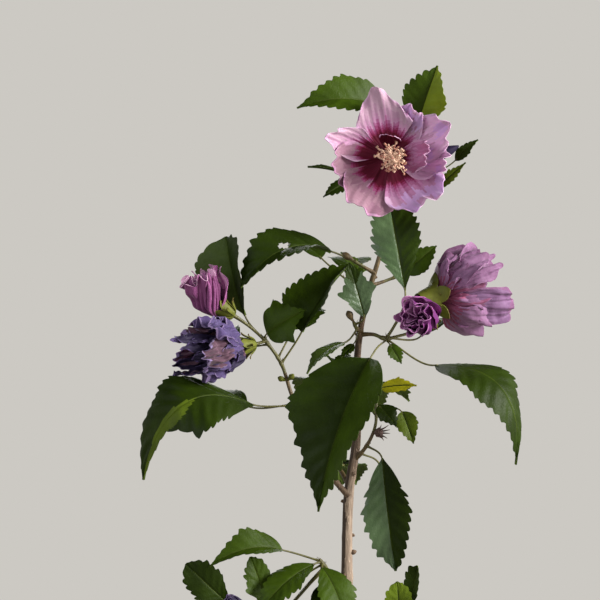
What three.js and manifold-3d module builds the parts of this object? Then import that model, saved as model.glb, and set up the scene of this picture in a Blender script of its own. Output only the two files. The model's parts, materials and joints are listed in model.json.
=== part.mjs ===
// A young rose of Sharon (Hibiscus syriacus) in flower, about half a metre tall, in a plain clay pot.
// Millimetres, +Z up. The origin is the middle of the pot's flat underside, and the best side looks to -Y.
//
// The stem rises bare from the compost, forks once, and carries its leaves in shoots. Each shoot is one
// solid: a thin stem with leaf stalks, leaves, buds and calyces fused to it, 0.3 mm clear of the limb that
// carries it. The large blooms are solids of their own, each seated 0.3 mm above its calyx.

import * as THREE from "three";
import { mergeVertices } from "three/addons/utils/BufferGeometryUtils.js";
import Module from "manifold-3d";

const wasm = await Module();
wasm.setup();

// ---- driving dimensions ----

const CLEARANCE = 0.3; // between neighbouring solids
const CUT = 0.38; // how far a limb's space reaches past the limb, where a shoot is cut to clear it

const POT = { height: 170, foot: 62, rim: 95, rimHeight: 30, lip: 5, wall: 7, floor: 8, sides: 32 };
const DRAIN = { count: 3, radius: 6, from: 34 };
const SOIL = { top: 150, gap: 0.6 };

const TRUNK = { foot: 5.2, tip: 1.3, flare: 3.5, flareHeight: 14, tipHeight: 527 };

const STALK = 0.8; // radius of a leaf stalk
const WELD = 0.004; // corners closer than this are joined
const EVEN = 1.001; // two diagonals of a patch count as equal up to this ratio
const LEAF = { thick: 0.014, least: 0.7, power: 1.9 };
const TOOTH = { deep: 0.13, from: 0.3 }; // share of the half width, and of the way along
const LOBE = { at: 0.46, spread: 0.09 };
const LEAF_STEPS = { long: 7, short: 4, limit: 30 }; // along the rib, above and below a length of 30 mm
const PETAL = { thick: 0.7, power: 1.7, least: 1.2, frill: 0.07, ripple: 1.6, steps: 4, across: 4 };
const PETAL_FOOT = { out: 2.2, up: 2 };
const CALYX = { length: 11, foot: 2.2, mouth: 5.2, stalk: 1.1 };
const GOLDEN = 137.5; // degrees
const GROUND = { side: 40, depth: 10 }; // the block of ground that the trunk's foot is cut flat by

const GREEN = 0x3d5a14;
const BARK = 0x8a7868;
const CLAY = 0xb0674a;
const COMPOST = 0x3b2a20;
const MAUVE = 0xb87cab;
const PLUM = 0x6f3f80;
const BLUE = 0x554d85;

const UP = new THREE.Vector3(0, 0, 1);
const vec = (a) => new THREE.Vector3(...a);
const radians = THREE.MathUtils.degToRad;
const taper = (from, to) => (t) => from + (to - from) * t;
const smooth = (route) => new THREE.CatmullRomCurve3(route.map(vec), false, "centripetal");

// The same stream of numbers from 0 to 1 for the same seed.
function chance(seed) {
  let state = seed * 7919 + 17;
  return () => {
    state = (state * 16807) % 2147483647;
    return state / 2147483647;
  };
}

// ---- skins: closed three.js geometries ----

// Closed skin through rings of points, each ring with the same number, with a fan over either end. Each
// four-sided patch is split along its shorter diagonal, so that the two sides of a thin blade bend alike and
// don't pass through each other.
function loft(rings) {
  const n = rings[0].length;
  const points = rings.flat();
  const index = [];
  for (let k = 0; k + 1 < rings.length; k++) {
    for (let i = 0; i < n; i++) {
      const a = k * n + i;
      const b = k * n + ((i + 1) % n);
      const rising = points[a].distanceTo(points[b + n]);
      const falling = points[b].distanceTo(points[a + n]);
      if (rising <= falling * EVEN) index.push(a, b, b + n, a, b + n, a + n);
      else index.push(a, b, a + n, b, b + n, a + n);
    }
  }
  const cap = (ring, first, flip) => {
    points.push(ring.reduce((sum, p) => sum.add(p), new THREE.Vector3()).divideScalar(n));
    for (let i = 0; i < n; i++) {
      const edge = [first + i, first + ((i + 1) % n)];
      index.push(points.length - 1, ...(flip ? edge.reverse() : edge));
    }
  };
  cap(rings[0], 0, true);
  cap(rings[rings.length - 1], (rings.length - 1) * n, false);
  return new THREE.BufferGeometry().setFromPoints(points).setIndex(index);
}

// A round limb along a curve. radius is a function of the way along, from 0 to 1.
function limb(curve, radius, sides, steps) {
  const frames = curve.computeFrenetFrames(steps, false);
  const rings = frames.tangents.map((_, k) => {
    const middle = curve.getPointAt(k / steps);
    const r = radius(k / steps);
    return Array.from({ length: sides }, (_, i) => {
      const turn = (2 * Math.PI * i) / sides;
      const p = middle.clone().addScaledVector(frames.normals[k], r * Math.cos(turn));
      return p.addScaledVector(frames.binormals[k], r * Math.sin(turn));
    });
  });
  return loft(rings);
}

// The rise and fall of a leaf's or petal's half width: 1 where it is widest, 0 at both ends.
function swell(t, widest, power) {
  return (t / widest) ** (widest * power) * ((1 - t) / (1 - widest)) ** ((1 - widest) * power);
}

// A thin blade along a bowed rib from base to tip, sharp at its edges. half(t) is its half width, lift(t, s)
// how far a point stands off the rib towards face, and s runs from -1 to 1 across.
function blade({ base, tip, face, bow, half, lift, thick, steps, across }) {
  const bend = base.clone().lerp(tip, 0.5).addScaledVector(face, 2 * bow);
  const rib = new THREE.QuadraticBezierCurve3(base, bend, tip);
  const rings = Array.from({ length: steps + 1 }, (_, k) => {
    const t = k / steps;
    const along = rib.getTangent(t);
    const side = along.clone().cross(face).normalize();
    const out = side.clone().cross(along);
    const row = Array.from({ length: across }, (_, i) => {
      const s = (2 * i) / (across - 1) - 1;
      return rib.getPoint(t).addScaledVector(side, s * half(t)).addScaledVector(out, lift(t, s));
    });
    const under = row.slice(1, -1).map((p) => p.clone().addScaledVector(out, -thick));
    return [...row, ...under.reverse()];
  });
  return loft(rings);
}

// ---- solids: where skins are fused and cut ----

// A closed solid from a skin. Faces that point inwards are turned round.
function solid(skin) {
  const bare = new THREE.BufferGeometry().setAttribute("position", skin.getAttribute("position"));
  const merged = mergeVertices(bare.setIndex(skin.index), 1e-4);
  const vertProperties = merged.attributes.position.array;
  const triVerts = new Uint32Array(merged.index.array);
  const made = new wasm.Manifold(new wasm.Mesh({ numProp: 3, vertProperties, triVerts }));
  if (made.volume() > 0) return made;
  for (let i = 0; i < triVerts.length; i += 3) {
    [triVerts[i + 1], triVerts[i + 2]] = [triVerts[i + 2], triVerts[i + 1]];
  }
  return new wasm.Manifold(new wasm.Mesh({ numProp: 3, vertProperties, triVerts }));
}

const fuse = (skins) => skins.map(solid).reduce((sum, part) => sum.add(part));

// Joins the corners that a fusion leaves almost on one spot, and drops the triangles that this flattens.
function weld(skin) {
  const merged = mergeVertices(skin, WELD);
  const kept = [];
  for (let i = 0; i < merged.index.count; i += 3) {
    const corners = [0, 1, 2].map((k) => merged.index.getX(i + k));
    if (new Set(corners).size === 3) kept.push(...corners);
  }
  return merged.setIndex(kept);
}

// The largest closed body of a solid, as a geometry. Fusing can seal in a hollow, and cutting can leave a
// loose scrap: both are left out.
function largestBody(made) {
  const { vertProperties, triVerts } = made.getMesh();
  const parent = Array.from({ length: vertProperties.length / 3 }, (_, i) => i);
  const root = (i) => {
    while (parent[i] !== i) i = parent[i];
    return i;
  };
  for (let i = 0; i < triVerts.length; i += 3) {
    const lowest = Math.min(root(triVerts[i]), root(triVerts[i + 1]), root(triVerts[i + 2]));
    for (let j = i; j < i + 3; j++) {
      parent[root(triVerts[j])] = lowest;
      parent[triVerts[j]] = lowest;
    }
  }
  const bodies = new Map();
  for (let i = 0; i < triVerts.length; i += 3) {
    const body = root(triVerts[i]);
    if (!bodies.has(body)) bodies.set(body, []);
    bodies.get(body).push(triVerts[i], triVerts[i + 1], triVerts[i + 2]);
  }
  const largest = [...bodies.values()].reduce((most, body) => (body.length > most.length ? body : most));
  const skin = new THREE.BufferGeometry();
  skin.setAttribute("position", new THREE.BufferAttribute(new Float32Array(vertProperties), 3));
  return weld(skin.setIndex(largest));
}

// ---- leaves, buds and calyces ----

// A leaf is { at, base, run, wide, face, bow, widest, lobe, fold }: at is how far up the stem its stalk
// springs, base the blade's foot, run the way from there to its tip, wide its full width, face the way its
// upper side looks, bow how far the rib bulges that way, widest where along the rib it is broadest, lobe
// how far its side lobes stand out, as a share of the half width, and fold how steeply its halves rise.
function leafBlade({ base, run, wide, face, bow, widest = 0.36, lobe = 0.1, fold = 0.15 }) {
  const along = vec(run);
  const length = along.length();
  const upper = vec(face);
  upper.addScaledVector(along, -upper.dot(along) / length ** 2).normalize();
  const steps = length > LEAF_STEPS.limit ? LEAF_STEPS.long : LEAF_STEPS.short;
  const half = (t) => {
    const k = Math.round(t * steps);
    if (k === 0 || k === steps) return 0.5;
    const tooth = t < TOOTH.from ? 0 : TOOTH.deep * (k % 2 ? 1 : -1);
    const lobes = lobe * Math.exp(-(((t - LOBE.at) / LOBE.spread) ** 2));
    return (wide / 2) * (swell(t, widest, LEAF.power) * (1 + tooth) + lobes);
  };
  const lift = (t, s) => fold * Math.abs(s) * half(t);
  const thick = Math.max(LEAF.thick * length, LEAF.least);
  const tip = vec(base).add(along);
  return blade({ base: vec(base), tip, face: upper, bow, half, lift, thick, steps, across: 3 });
}

// A leaf's stalk springs from the stem at node and runs on into the blade's rib.
function leafStalk(node, { base, run, face, bow }) {
  const foot = vec(base);
  const upper = vec(face).normalize();
  const rib = vec(run).multiplyScalar(0.5).addScaledVector(upper, 2 * bow).normalize();
  const reach = node.distanceTo(foot);
  const end = foot.clone().addScaledVector(rib, Math.min(2, reach / 4)).addScaledVector(upper, -0.3);
  const far = foot.clone().addScaledVector(rib, -0.35 * reach);
  const curve = new THREE.CubicBezierCurve3(node, node.clone().lerp(foot, 0.35), far, end);
  return limb(curve, taper(STALK * 1.2, STALK), 3, reach > 15 ? 3 : 2);
}

// A pointed bud that stands on its stem, from node to its tip.
function bud(node, { tip, wide }) {
  const swelling = (t) => 0.6 + (wide / 2) * Math.sin(Math.PI * t ** 1.8);
  return limb(new THREE.LineCurve3(node, vec(tip)), swelling, 5, 4);
}

// The flower stalk and its flared calyx, whose flat mouth is at the bloom's foot.
function calyx(node, { foot, axis, size }) {
  const mouth = vec(foot);
  const way = vec(axis).normalize();
  const start = mouth.clone().addScaledVector(way, -CALYX.length * size);
  const back = start.clone().addScaledVector(way, -0.5 * node.distanceTo(start));
  const end = start.clone().addScaledVector(way, 1);
  const stalk = new THREE.CubicBezierCurve3(node, node.clone().lerp(start, 0.3), back, end);
  const cup = (t) => size * (CALYX.foot + (CALYX.mouth - CALYX.foot) * Math.sin((Math.PI / 2) * t));
  const thickness = taper(CALYX.stalk, CALYX.stalk + 0.1);
  return [limb(stalk, thickness, 3, 4), limb(new THREE.LineCurve3(start, mouth), cup, 6, 2)];
}

// Leaves set by rule along a stem: each stands a fixed turn on from the last.
function whorl(stem, { seed, count, from, first, turn, stalk, size, rise, droop }) {
  const next = chance(seed);
  const jitter = (spread) => spread * (next() - 0.5);
  return Array.from({ length: count }, (_, i) => {
    const at = from + ((1 - from) * (i + 0.5)) / count;
    const heading = radians(first + turn * i + jitter(16));
    const out = new THREE.Vector3(Math.cos(heading), Math.sin(heading), 0);
    const tilted = (degrees, length) => {
      const level = out.clone().multiplyScalar(length * Math.cos(radians(degrees)));
      return level.addScaledVector(UP, length * Math.sin(radians(degrees)));
    };
    const base = stem.getPointAt(at).add(tilted(rise + jitter(14), stalk * (1 + jitter(0.4)))).toArray();
    const length = size * (1 + jitter(0.28));
    const run = tilted(-droop + jitter(20), length).toArray();
    const face = out.multiplyScalar(0.45).add(UP).toArray();
    return { at, base, run, wide: 0.6 * length, face, bow: 0.1 * length };
  });
}

// ---- blooms ----

const TOP_BLOOM = { foot: [24, -14, 582], axis: [-0.05, -0.99, 0.1], size: 1 };
const RIGHT_BLOOM = { foot: [55, -4, 493], axis: [0.82, 0.42, 0.14], size: 0.95 };
const RIGHT_CLOSED = { foot: [50, -14, 479], axis: [-0.5, -0.86, 0.16], size: 0.7 };
const PINK_FADED = { foot: [-81, -27, 487], axis: [-0.8, -0.15, 0.5], size: 0.85 };
const BLUE_FADED = { foot: [-68, -28, 463], axis: [-0.85, -0.5, -0.15], size: 0.85 };
const LOW_FADED = { foot: [-68, -36, 299], axis: [-0.6, -0.5, 0.6], size: 0.5 };

// A petal is { turn, reach, rise, wide, bow, widest, cup } in its bloom's own frame: turn round the axis,
// reach out from it, rise along it, full width, bow of the rib, widest where along the rib it is broadest,
// and cup, how far its edges curl in.
const TOP_PETALS = [
  { turn: 101, reach: 41, rise: 20, wide: 32, bow: 8, widest: 0.5 },
  { turn: 20, reach: 43, rise: 20, wide: 28, bow: 8, widest: 0.55 },
  { turn: -56, reach: 46, rise: 20, wide: 38, bow: 8 },
  { turn: -116, reach: 43, rise: 20, wide: 34, bow: 8 },
  { turn: 168, reach: 42, rise: 22, wide: 20, bow: 8, widest: 0.5, cup: 0.6 },
  { turn: 195, reach: 35, rise: 17, wide: 26, bow: 6 },
  { turn: 66, reach: 34, rise: 15, wide: 22, bow: 6 },
  { turn: -12, reach: 39, rise: 18, wide: 20, bow: 6 },
  { turn: -4, reach: 20, rise: 27, wide: 16, bow: 5 },
];
const RIGHT_PETALS = [
  { turn: 92, reach: 31, rise: 34, wide: 36, bow: 9, widest: 0.72 },
  { turn: 22, reach: 32, rise: 40, wide: 34, bow: 9, widest: 0.72 },
  { turn: -48, reach: 32, rise: 40, wide: 36, bow: 9, widest: 0.72 },
  { turn: -118, reach: 30, rise: 35, wide: 35, bow: 8, widest: 0.72 },
  { turn: 165, reach: 28, rise: 36, wide: 34, bow: 9, widest: 0.72 },
  { turn: 55, reach: 22, rise: 43, wide: 22, bow: 5 },
  { turn: -15, reach: 20, rise: 45, wide: 20, bow: 5 },
  { turn: -80, reach: 20, rise: 42, wide: 20, bow: 5 },
];

// The petals of a faded bloom: each stands a golden angle on from the last, and they differ in size.
function fadedPetals(count, { reach, rise, wide }) {
  return Array.from({ length: count }, (_, i) => {
    const share = 1 - 0.15 * (i % 3);
    const height = 1 - 0.1 * (i % 4);
    return { turn: GOLDEN * i, reach: reach * share, rise: rise * height, wide, bow: 5, cup: 0.45 };
  });
}

const PINK_PETALS = fadedPetals(5, { reach: 20, rise: 27, wide: 24 });
const BLUE_PETALS = fadedPetals(6, { reach: 23, rise: 42, wide: 28 });

function petal({ turn, reach, rise, wide, bow, widest = 0.66, cup = 0.25 }) {
  const base = new THREE.Vector3(PETAL_FOOT.out, 0, PETAL_FOOT.up);
  const tip = new THREE.Vector3(reach, 0, rise);
  const face = new THREE.Vector3(base.z - rise, 0, reach - base.x).normalize();
  const half = (t) => {
    const frill = t > 0.6 ? PETAL.frill * Math.cos(16 * t) : 0;
    return Math.max((wide / 2) * (swell(t, widest, PETAL.power) + frill * t), PETAL.least);
  };
  const lift = (t, s) => cup * s * s * half(t) + PETAL.ripple * t * t * Math.sin(5 * s + 9 * t);
  const { thick, steps, across } = PETAL;
  return blade({ base, tip, face, bow: -bow, half, lift, thick, steps, across }).rotateZ(radians(turn));
}

// Moves a skin from a bloom's own frame, with Z along the axis, to its place on the plant.
function seat(skin, { foot, axis }) {
  const way = vec(axis).normalize();
  const right = UP.clone().cross(way).normalize();
  const over = way.clone().cross(right);
  const start = vec(foot).addScaledVector(way, CLEARANCE);
  return skin.applyMatrix4(new THREE.Matrix4().makeBasis(right, over, way).setPosition(start));
}

const alongAxis = (length) => new THREE.LineCurve3(new THREE.Vector3(), new THREE.Vector3(0, 0, length));

// An open bloom: a heart, petals, and the stamens' column, a rod with a thick brush of anthers.
function openBloom(bloom, petals, column) {
  const brush = (t) => 1.6 + 2.6 * Math.sin(Math.PI * Math.max(0, (t - 0.3) / 0.7) ** 0.9);
  const skins = [limb(alongAxis(5), taper(4, 2.6), 6, 1), limb(alongAxis(column), brush, 5, 4)];
  return fuse([...skins, ...petals.map(petal)].map((skin) => seat(skin, bloom)));
}

// A closed or withered bloom: a bundle with deep twisted folds, wide at its shoulder and ragged at its end.
function closedBloom(bloom, { length, radius, mouth, folds = 6, depth = 0.35, twist = 70 }) {
  const steps = 8;
  const neck = 2.6 * bloom.size;
  const rings = Array.from({ length: steps + 1 }, (_, k) => {
    const t = k / steps;
    const swollen = neck + (radius - neck) * Math.sin((Math.PI / 2) * Math.min(1, 2 * t));
    const r = swollen + (mouth - radius) * Math.max(0, 2 * t - 1) ** 1.6;
    return Array.from({ length: 2 * folds }, (_, i) => {
      const turn = (Math.PI * i) / folds + radians(twist * t);
      const fold = i % 2 ? 1 - depth * Math.min(1, 2.2 * t) : 1;
      const ragged = k === steps ? 0.12 * length * Math.sin(2.4 * i) : 0;
      return new THREE.Vector3(r * fold * Math.cos(turn), r * fold * Math.sin(turn), length * t + ragged);
    });
  });
  return solid(seat(loft(rings), bloom));
}

// ---- limbs ----

// Each limb is { name, route, radius, sides, steps }, and the carrying limb comes first.
// The trunk thins steadily, and swells into a root flare over its last few millimetres.
function trunkRadius(t) {
  const height = t * (TRUNK.tipHeight - SOIL.top);
  const flare = TRUNK.flare * Math.exp((-3 * height) / TRUNK.flareHeight);
  return TRUNK.tip + (TRUNK.foot - TRUNK.tip) * (1 - t) ** 0.9 + flare;
}

const LIMBS = [
  {
    name: "trunk",
    route: [
      [-6, 3, SOIL.top - 2], [-2, 1, 245], [-1, 0, 365], [4, 0, 402], [5, 0, 460], [10, 0, 489],
      [21, 0, TRUNK.tipHeight],
    ],
    radius: trunkRadius,
    sides: 8,
    steps: 20,
  },
  {
    name: "left_bough",
    route: [[-1, -1, 367], [-9, -3, 376], [-21, -7, 397], [-33, -11, 421]],
    radius: taper(1.9, 1.35),
    sides: 6,
    steps: 8,
  },
];

// ---- shoots: stem, radii, leaves, blooms and buds ----

const SHOOTS = {
  top_shoot: {
    stem: [[21, 0, 527], [28, 2, 545], [35, 6, 563], [40, 10, 579], [46, 14, 596]],
    radii: [1.3, 0.9],
    leaves: [
      { at: 0.97, base: [21, 8, 618], run: [-55, -18, -2], wide: 24, face: [0.1, -0.75, 0.65], bow: 9 },
      { at: 1, base: [45, 10, 609], run: [11, -10, 33], wide: 30, face: [-0.2, -1, 0.1], bow: 2, fold: 0.3 },
      { at: 0.15, base: [56, 9, 564], run: [18, -9, 16], wide: 7, face: [0.2, -0.9, 0.3], bow: 1, lobe: 0 },
      { at: 0.6, base: [68, 8, 582], run: [14, -6, 13], wide: 9, face: [-0.5, -0.8, 0.3], bow: 1, lobe: 0 },
      { at: 0.6, base: [-3, 12, 575], run: [-24, -8, 3], wide: 7, face: [0.1, -0.3, 0.9], bow: 1, lobe: 0 },
      { at: 0.5, base: [0, 10, 569], run: [-17, -12, -11], wide: 9, face: [0.4, -0.6, 0.7], bow: 1, lobe: 0 },
      { at: 0.45, base: [36, 30, 572], run: [-5, 52, 16], wide: 30, face: [0, -0.3, 1], bow: 6 },
      { at: 0.75, base: [50, 26, 590], run: [6, 40, 14], wide: 26, face: [-0.3, -0.3, 0.9], bow: 5 },
      { at: 0.35, base: [17, 24, 571], run: [-14, 40, 16], wide: 28, face: [0.2, -0.3, 0.9], bow: 5 },
    ],
    blooms: [{ at: 0.5, ...TOP_BLOOM }],
    buds: [{ at: 0.7, tip: [64, 4, 593], wide: 7 }],
  },
  upper_left_spray: {
    stem: [[16, 0, 509], [9, -2, 513], [2, -4, 517]],
    radii: [1.2, 0.9],
    leaves: [
      {
        at: 0.9, base: [-12, -8, 524], run: [-57, -26, -24], wide: 31, face: [-0.3, -0.65, 0.7],
        bow: 23, widest: 0.5, fold: -0.1,
      },
    ],
    buds: [{ at: 0.9, tip: [-5, -4, 522], wide: 4 }],
  },
  upper_right_spray: {
    stem: [[13, 0, 501], [22, 4, 504], [30, 7, 507]],
    radii: [1.2, 0.9],
    leaves: [
      { at: 0.9, base: [36, 9, 509], run: [20, -1, 18], wide: 16, face: [-0.3, -0.9, 0.1], bow: 2 },
    ],
  },
  middle_left_spray: {
    stem: [[7, 0, 472], [4, -5, 474], [2, -9, 478]],
    radii: [1.3, 0.9],
    leaves: [
      { at: 0.8, base: [8, -12, 482], run: [-7, -2, 33], wide: 21, face: [0.1, -1, 0.1], bow: 1, lobe: 0.25 },
      {
        at: 0.4, base: [-4, -14, 465], run: [-24, -12, -19], wide: 15, face: [-0.5, -0.45, 0.75],
        bow: 4, lobe: 0,
      },
      { at: 0.2, base: [2, -9, 464], run: [-8, -5, -8], wide: 7, face: [-0.2, -0.8, 0.6], bow: 0, lobe: 0 },
    ],
    buds: [{ at: 0.95, tip: [-2, -12, 485], wide: 4 }],
  },
  middle_right_shoot: {
    stem: [[7, 0, 470], [15, -5, 470], [20, -9, 468], [24, -11, 467]],
    radii: [1.3, 1.1],
    leaves: [
      {
        at: 0.95, base: [13, -46, 457], run: [-34, -20, -93], wide: 60, face: [-0.6, -0.75, 0.3],
        bow: 7, widest: 0.3, fold: 0.4,
      },
      {
        at: 0.9, base: [53, -20, 451], run: [49, -18, -61], wide: 32, face: [0.35, -0.6, 0.72],
        bow: 26, fold: -0.1,
      },
      { at: 0.8, base: [25, -14, 464], run: [7, -4, -12], wide: 9, face: [0.3, -0.9, 0.2], bow: 0, lobe: 0 },
      { at: 0.97, base: [34, -24, 498], run: [-11, 19, 56], wide: 30, face: [-0.1, -0.95, 0.25], bow: 3 },
      { at: 0.85, base: [48, 26, 470], run: [16, 50, 6], wide: 28, face: [0, -0.1, 1], bow: 6 },
    ],
    blooms: [{ at: 0.9, ...RIGHT_BLOOM }, { at: 0.97, ...RIGHT_CLOSED }],
  },
  right_spray: {
    stem: [[3, 0, 390], [6, -3, 393], [12, -7, 402], [16, -5, 412], [17, 0, 429]],
    radii: [1.3, 0.8],
    leaves: [
      { at: 0.3, base: [19, -16, 392], run: [8, -8, -69], wide: 28, face: [-0.25, -0.95, 0.1], bow: 3 },
      { at: 0.75, base: [18, -8, 425], run: [11, -6, -13], wide: 14, face: [0.3, -0.8, 0.5], bow: 1 },
      { at: 0.85, base: [33, -6, 421], run: [7, -6, -20], wide: 13, face: [0.2, -1, 0.1], bow: 1, fold: 0.3 },
      { at: 0.98, base: [20, -2, 436], run: [22, -8, 2], wide: 11, face: [0, -0.8, 0.55], bow: 1 },
      { at: 0.15, base: [20, 14, 385], run: [9, 28, -46], wide: 22, face: [0.1, -0.5, 0.8], bow: 5 },
    ],
    buds: [{ at: 0.5, tip: [21, -12, 410], wide: 6 }],
  },
  left_shoot: {
    stem: [[-33, -11, 421], [-38, -12, 434], [-44, -13, 452], [-55, -15, 468]],
    radii: [1.3, 1.0],
    leaves: [
      {
        at: 0.08, base: [-61, -20, 426], run: [-66, -22, -45], wide: 40, face: [-0.3, -0.6, 0.74],
        bow: 40, fold: -0.1,
      },
      {
        at: 0.62, base: [-31, -14, 472], run: [26, 6, 45], wide: 40, face: [-0.8, -0.6, 0.05],
        bow: 3, fold: 0.3,
      },
      { at: 0.98, base: [-53, -19, 471], run: [25, -5, 15], wide: 26, face: [-0.2, -0.85, 0.45], bow: 2 },
      {
        at: 0.95, base: [-68, -15, 483], run: [-7, 2, 49], wide: 42, face: [-0.6, -0.8, 0.1],
        bow: 2, fold: 0.3,
      },
      { at: 0.97, base: [-62, -14, 463], run: [-10, 2, -8], wide: 5, face: [0, -0.8, 0.6], bow: 0, lobe: 0 },
      { at: 0.9, base: [-76, 10, 463], run: [-18, 40, -4], wide: 30, face: [-0.3, -0.3, 0.9], bow: 6 },
      { at: 0.7, base: [-37, 4, 473], run: [12, 42, 18], wide: 26, face: [0.2, -0.4, 0.9], bow: 6 },
      { at: 0.1, base: [-67, 8, 424], run: [-42, 36, -4], wide: 26, face: [-0.2, -0.3, 0.9], bow: 6 },
    ],
    blooms: [{ at: 0.98, ...PINK_FADED }, { at: 0.96, ...BLUE_FADED }],
    buds: [{ at: 0.4, tip: [-46, -14, 443], wide: 3 }, { at: 0.4, tip: [-36, -16, 445], wide: 3 }],
  },
  lower_left_shoot: {
    stem: [[-1, 0, 296], [-8, -7, 310], [-16, -14, 323], [-20, -16, 328]],
    radii: [1.7, 1.1],
    leaves: [
      { at: 0.97, base: [-43, -22, 336], run: [-44, -16, -6], wide: 27, face: [-0.2, -0.65, 0.72], bow: 9 },
      { at: 0.9, base: [-73, -30, 301], run: [-29, -4, 27], wide: 27, face: [-0.35, -0.85, 0.4], bow: 3 },
      {
        at: 0.85, base: [-52, -22, 296], run: [-11, -2, 35], wide: 20, face: [0.35, -0.9, 0.25],
        bow: 2, lobe: 0.2,
      },
      { at: 0.95, base: [-23, -20, 326], run: [-31, -20, -26], wide: 30, face: [-0.45, -0.75, 0.5], bow: 5 },
      { at: 0.9, base: [-18, -19, 324], run: [15, -15, -35], wide: 25, face: [0.35, -0.85, 0.4], bow: 5 },
      { at: 0.93, base: [-19, -24, 313], run: [-3, -18, -35], wide: 20, face: [0.1, -0.95, 0.25], bow: 3 },
    ],
    blooms: [{ at: 0.8, ...LOW_FADED }],
  },
  lower_right_shoot: {
    stem: [[-2, 0, 256], [13, -6, 267], [26, -10, 275], [34, -12, 280]],
    radii: [1.7, 1.1],
    leaves: [
      { at: 1, base: [36, -12, 284], run: [6, -2, 40], wide: 12, face: [-0.85, -0.5, 0.1], bow: 1, fold: 0.4 },
      { at: 0.9, base: [32, -16, 285], run: [-3, -6, 32], wide: 15, face: [-0.1, -0.95, 0.3], bow: 2 },
    ],
    rule: { seed: 11, count: 4, from: 0.35, first: -60, turn: 110, stalk: 16, size: 56, rise: 0, droop: 30 },
  },
  upper_back_shoot: {
    stem: [[9, 0, 487], [6, 16, 497], [-2, 32, 506]],
    radii: [1.4, 1.0],
    leaves: [
      { at: 0.8, base: [-18, 40, 514], run: [-36, 12, 8], wide: 24, face: [0, -0.3, 1], bow: 5 },
      { at: 0.97, base: [0, 46, 512], run: [4, 46, 4], wide: 26, face: [0, -0.1, 1], bow: 6 },
    ],
  },
  middle_back_shoot: {
    stem: [[5, 0, 432], [-1, 16, 438], [-7, 32, 440]],
    radii: [1.5, 1.0],
    rule: { seed: 5, count: 4, from: 0.3, first: 45, turn: 22, stalk: 15, size: 50, rise: 0, droop: 25 },
  },
  lower_back_shoot: {
    stem: [[-1, 0, 374], [-7, 16, 384], [-11, 32, 390]],
    radii: [1.6, 1.0],
    rule: { seed: 7, count: 3, from: 0.4, first: 75, turn: 15, stalk: 13, size: 40, rise: 0, droop: 35 },
  },
  foot_back_shoot: {
    stem: [[-4, 2, 228], [-12, 18, 242], [-22, 34, 250]],
    radii: [1.7, 1.0],
    rule: { seed: 9, count: 5, from: 0.3, first: 80, turn: 110, stalk: 20, size: 58, rise: 5, droop: 25 },
  },
};

// ---- pot and compost ----

const potNeck = POT.rim - POT.lip;
const potBand = POT.height - POT.rimHeight;
const turned = (outline) => {
  const profile = outline.map(([r, z]) => new THREE.Vector2(r, z));
  return solid(new THREE.LatheGeometry(profile, POT.sides).rotateX(Math.PI / 2));
};

// The outline runs from the middle of the underside up the outside, over the rim and down the inside.
function potSolid() {
  const { height, foot, rim, wall, floor } = POT;
  const pot = turned([
    [0, 0], [foot - 2, 0], [foot, 2], [potNeck - 2, potBand], [rim - 1.5, potBand], [rim, potBand + 2],
    [rim, height - 3], [rim - 3, height], [rim - wall - 2, height], [potNeck - wall, potBand],
    [foot - wall + 1, floor + 3], [foot - wall - 2, floor], [0, floor],
  ]);
  const holes = Array.from({ length: DRAIN.count }, (_, i) => {
    const turn = (2 * Math.PI * i) / DRAIN.count;
    const hole = new THREE.CylinderGeometry(DRAIN.radius, DRAIN.radius, 3 * floor, 16).rotateX(Math.PI / 2);
    return solid(hole.translate(DRAIN.from * Math.cos(turn), DRAIN.from * Math.sin(turn), 0));
  });
  return holes.reduce((rest, hole) => rest.subtract(hole), pot);
}

function soilSolid() {
  const { foot, rimHeight, wall, floor } = POT;
  const filled = (SOIL.top - potBand) / rimHeight;
  const top = potNeck - wall + filled * (POT.lip - 2);
  return turned([
    [0, floor + CLEARANCE], [foot - wall - 2 - SOIL.gap, floor + CLEARANCE],
    [foot - wall + 1 - SOIL.gap, floor + 3 + CLEARANCE], [potNeck - wall - SOIL.gap, potBand],
    [top - SOIL.gap, SOIL.top - CLEARANCE], [0, SOIL.top - CLEARANCE],
  ]);
}

// ---- assembly ----

const group = new THREE.Group();
group.name = "rose_of_sharon";

function add(name, made, color, roughness) {
  const geometry = largestBody(made);
  geometry.computeVertexNormals();
  const material = new THREE.MeshStandardMaterial({ color, roughness, metalness: 0 });
  const node = new THREE.Mesh(geometry, material);
  node.name = name;
  group.add(node);
}

// Each limb is cut to clear the ground and the limbs before it. The space of all limbs is then cut from
// the shoots.
const ground = new THREE.BoxGeometry(GROUND.side, GROUND.side, GROUND.depth);
let limbSpace = solid(ground.translate(0, 0, SOIL.top - GROUND.depth / 2));
for (const { name, route, radius, sides, steps } of LIMBS) {
  const curve = smooth(route);
  add(name, solid(limb(curve, radius, sides, steps)).subtract(limbSpace), BARK, 0.85);
  const end = curve.getPoint(1).addScaledVector(curve.getTangent(1), CLEARANCE);
  const space = solid(limb(smooth([...route, end.toArray()]), (t) => radius(t) + CUT, sides, steps));
  limbSpace = limbSpace.add(space);
}

for (const [name, shoot] of Object.entries(SHOOTS)) {
  const { radii, leaves = [], rule, blooms = [], buds = [] } = shoot;
  const stem = smooth(shoot.stem);
  const all = rule ? [...leaves, ...whorl(stem, rule)] : leaves;
  const made = fuse([
    limb(stem, taper(...radii), 4, 2 * shoot.stem.length),
    ...all.flatMap((leaf) => [leafStalk(stem.getPointAt(leaf.at), leaf), leafBlade(leaf)]),
    ...blooms.flatMap((bloom) => calyx(stem.getPointAt(bloom.at), bloom)),
    ...buds.map((one) => bud(stem.getPointAt(one.at), one)),
  ]);
  add(name, made.subtract(limbSpace), GREEN, 0.6);
}

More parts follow.
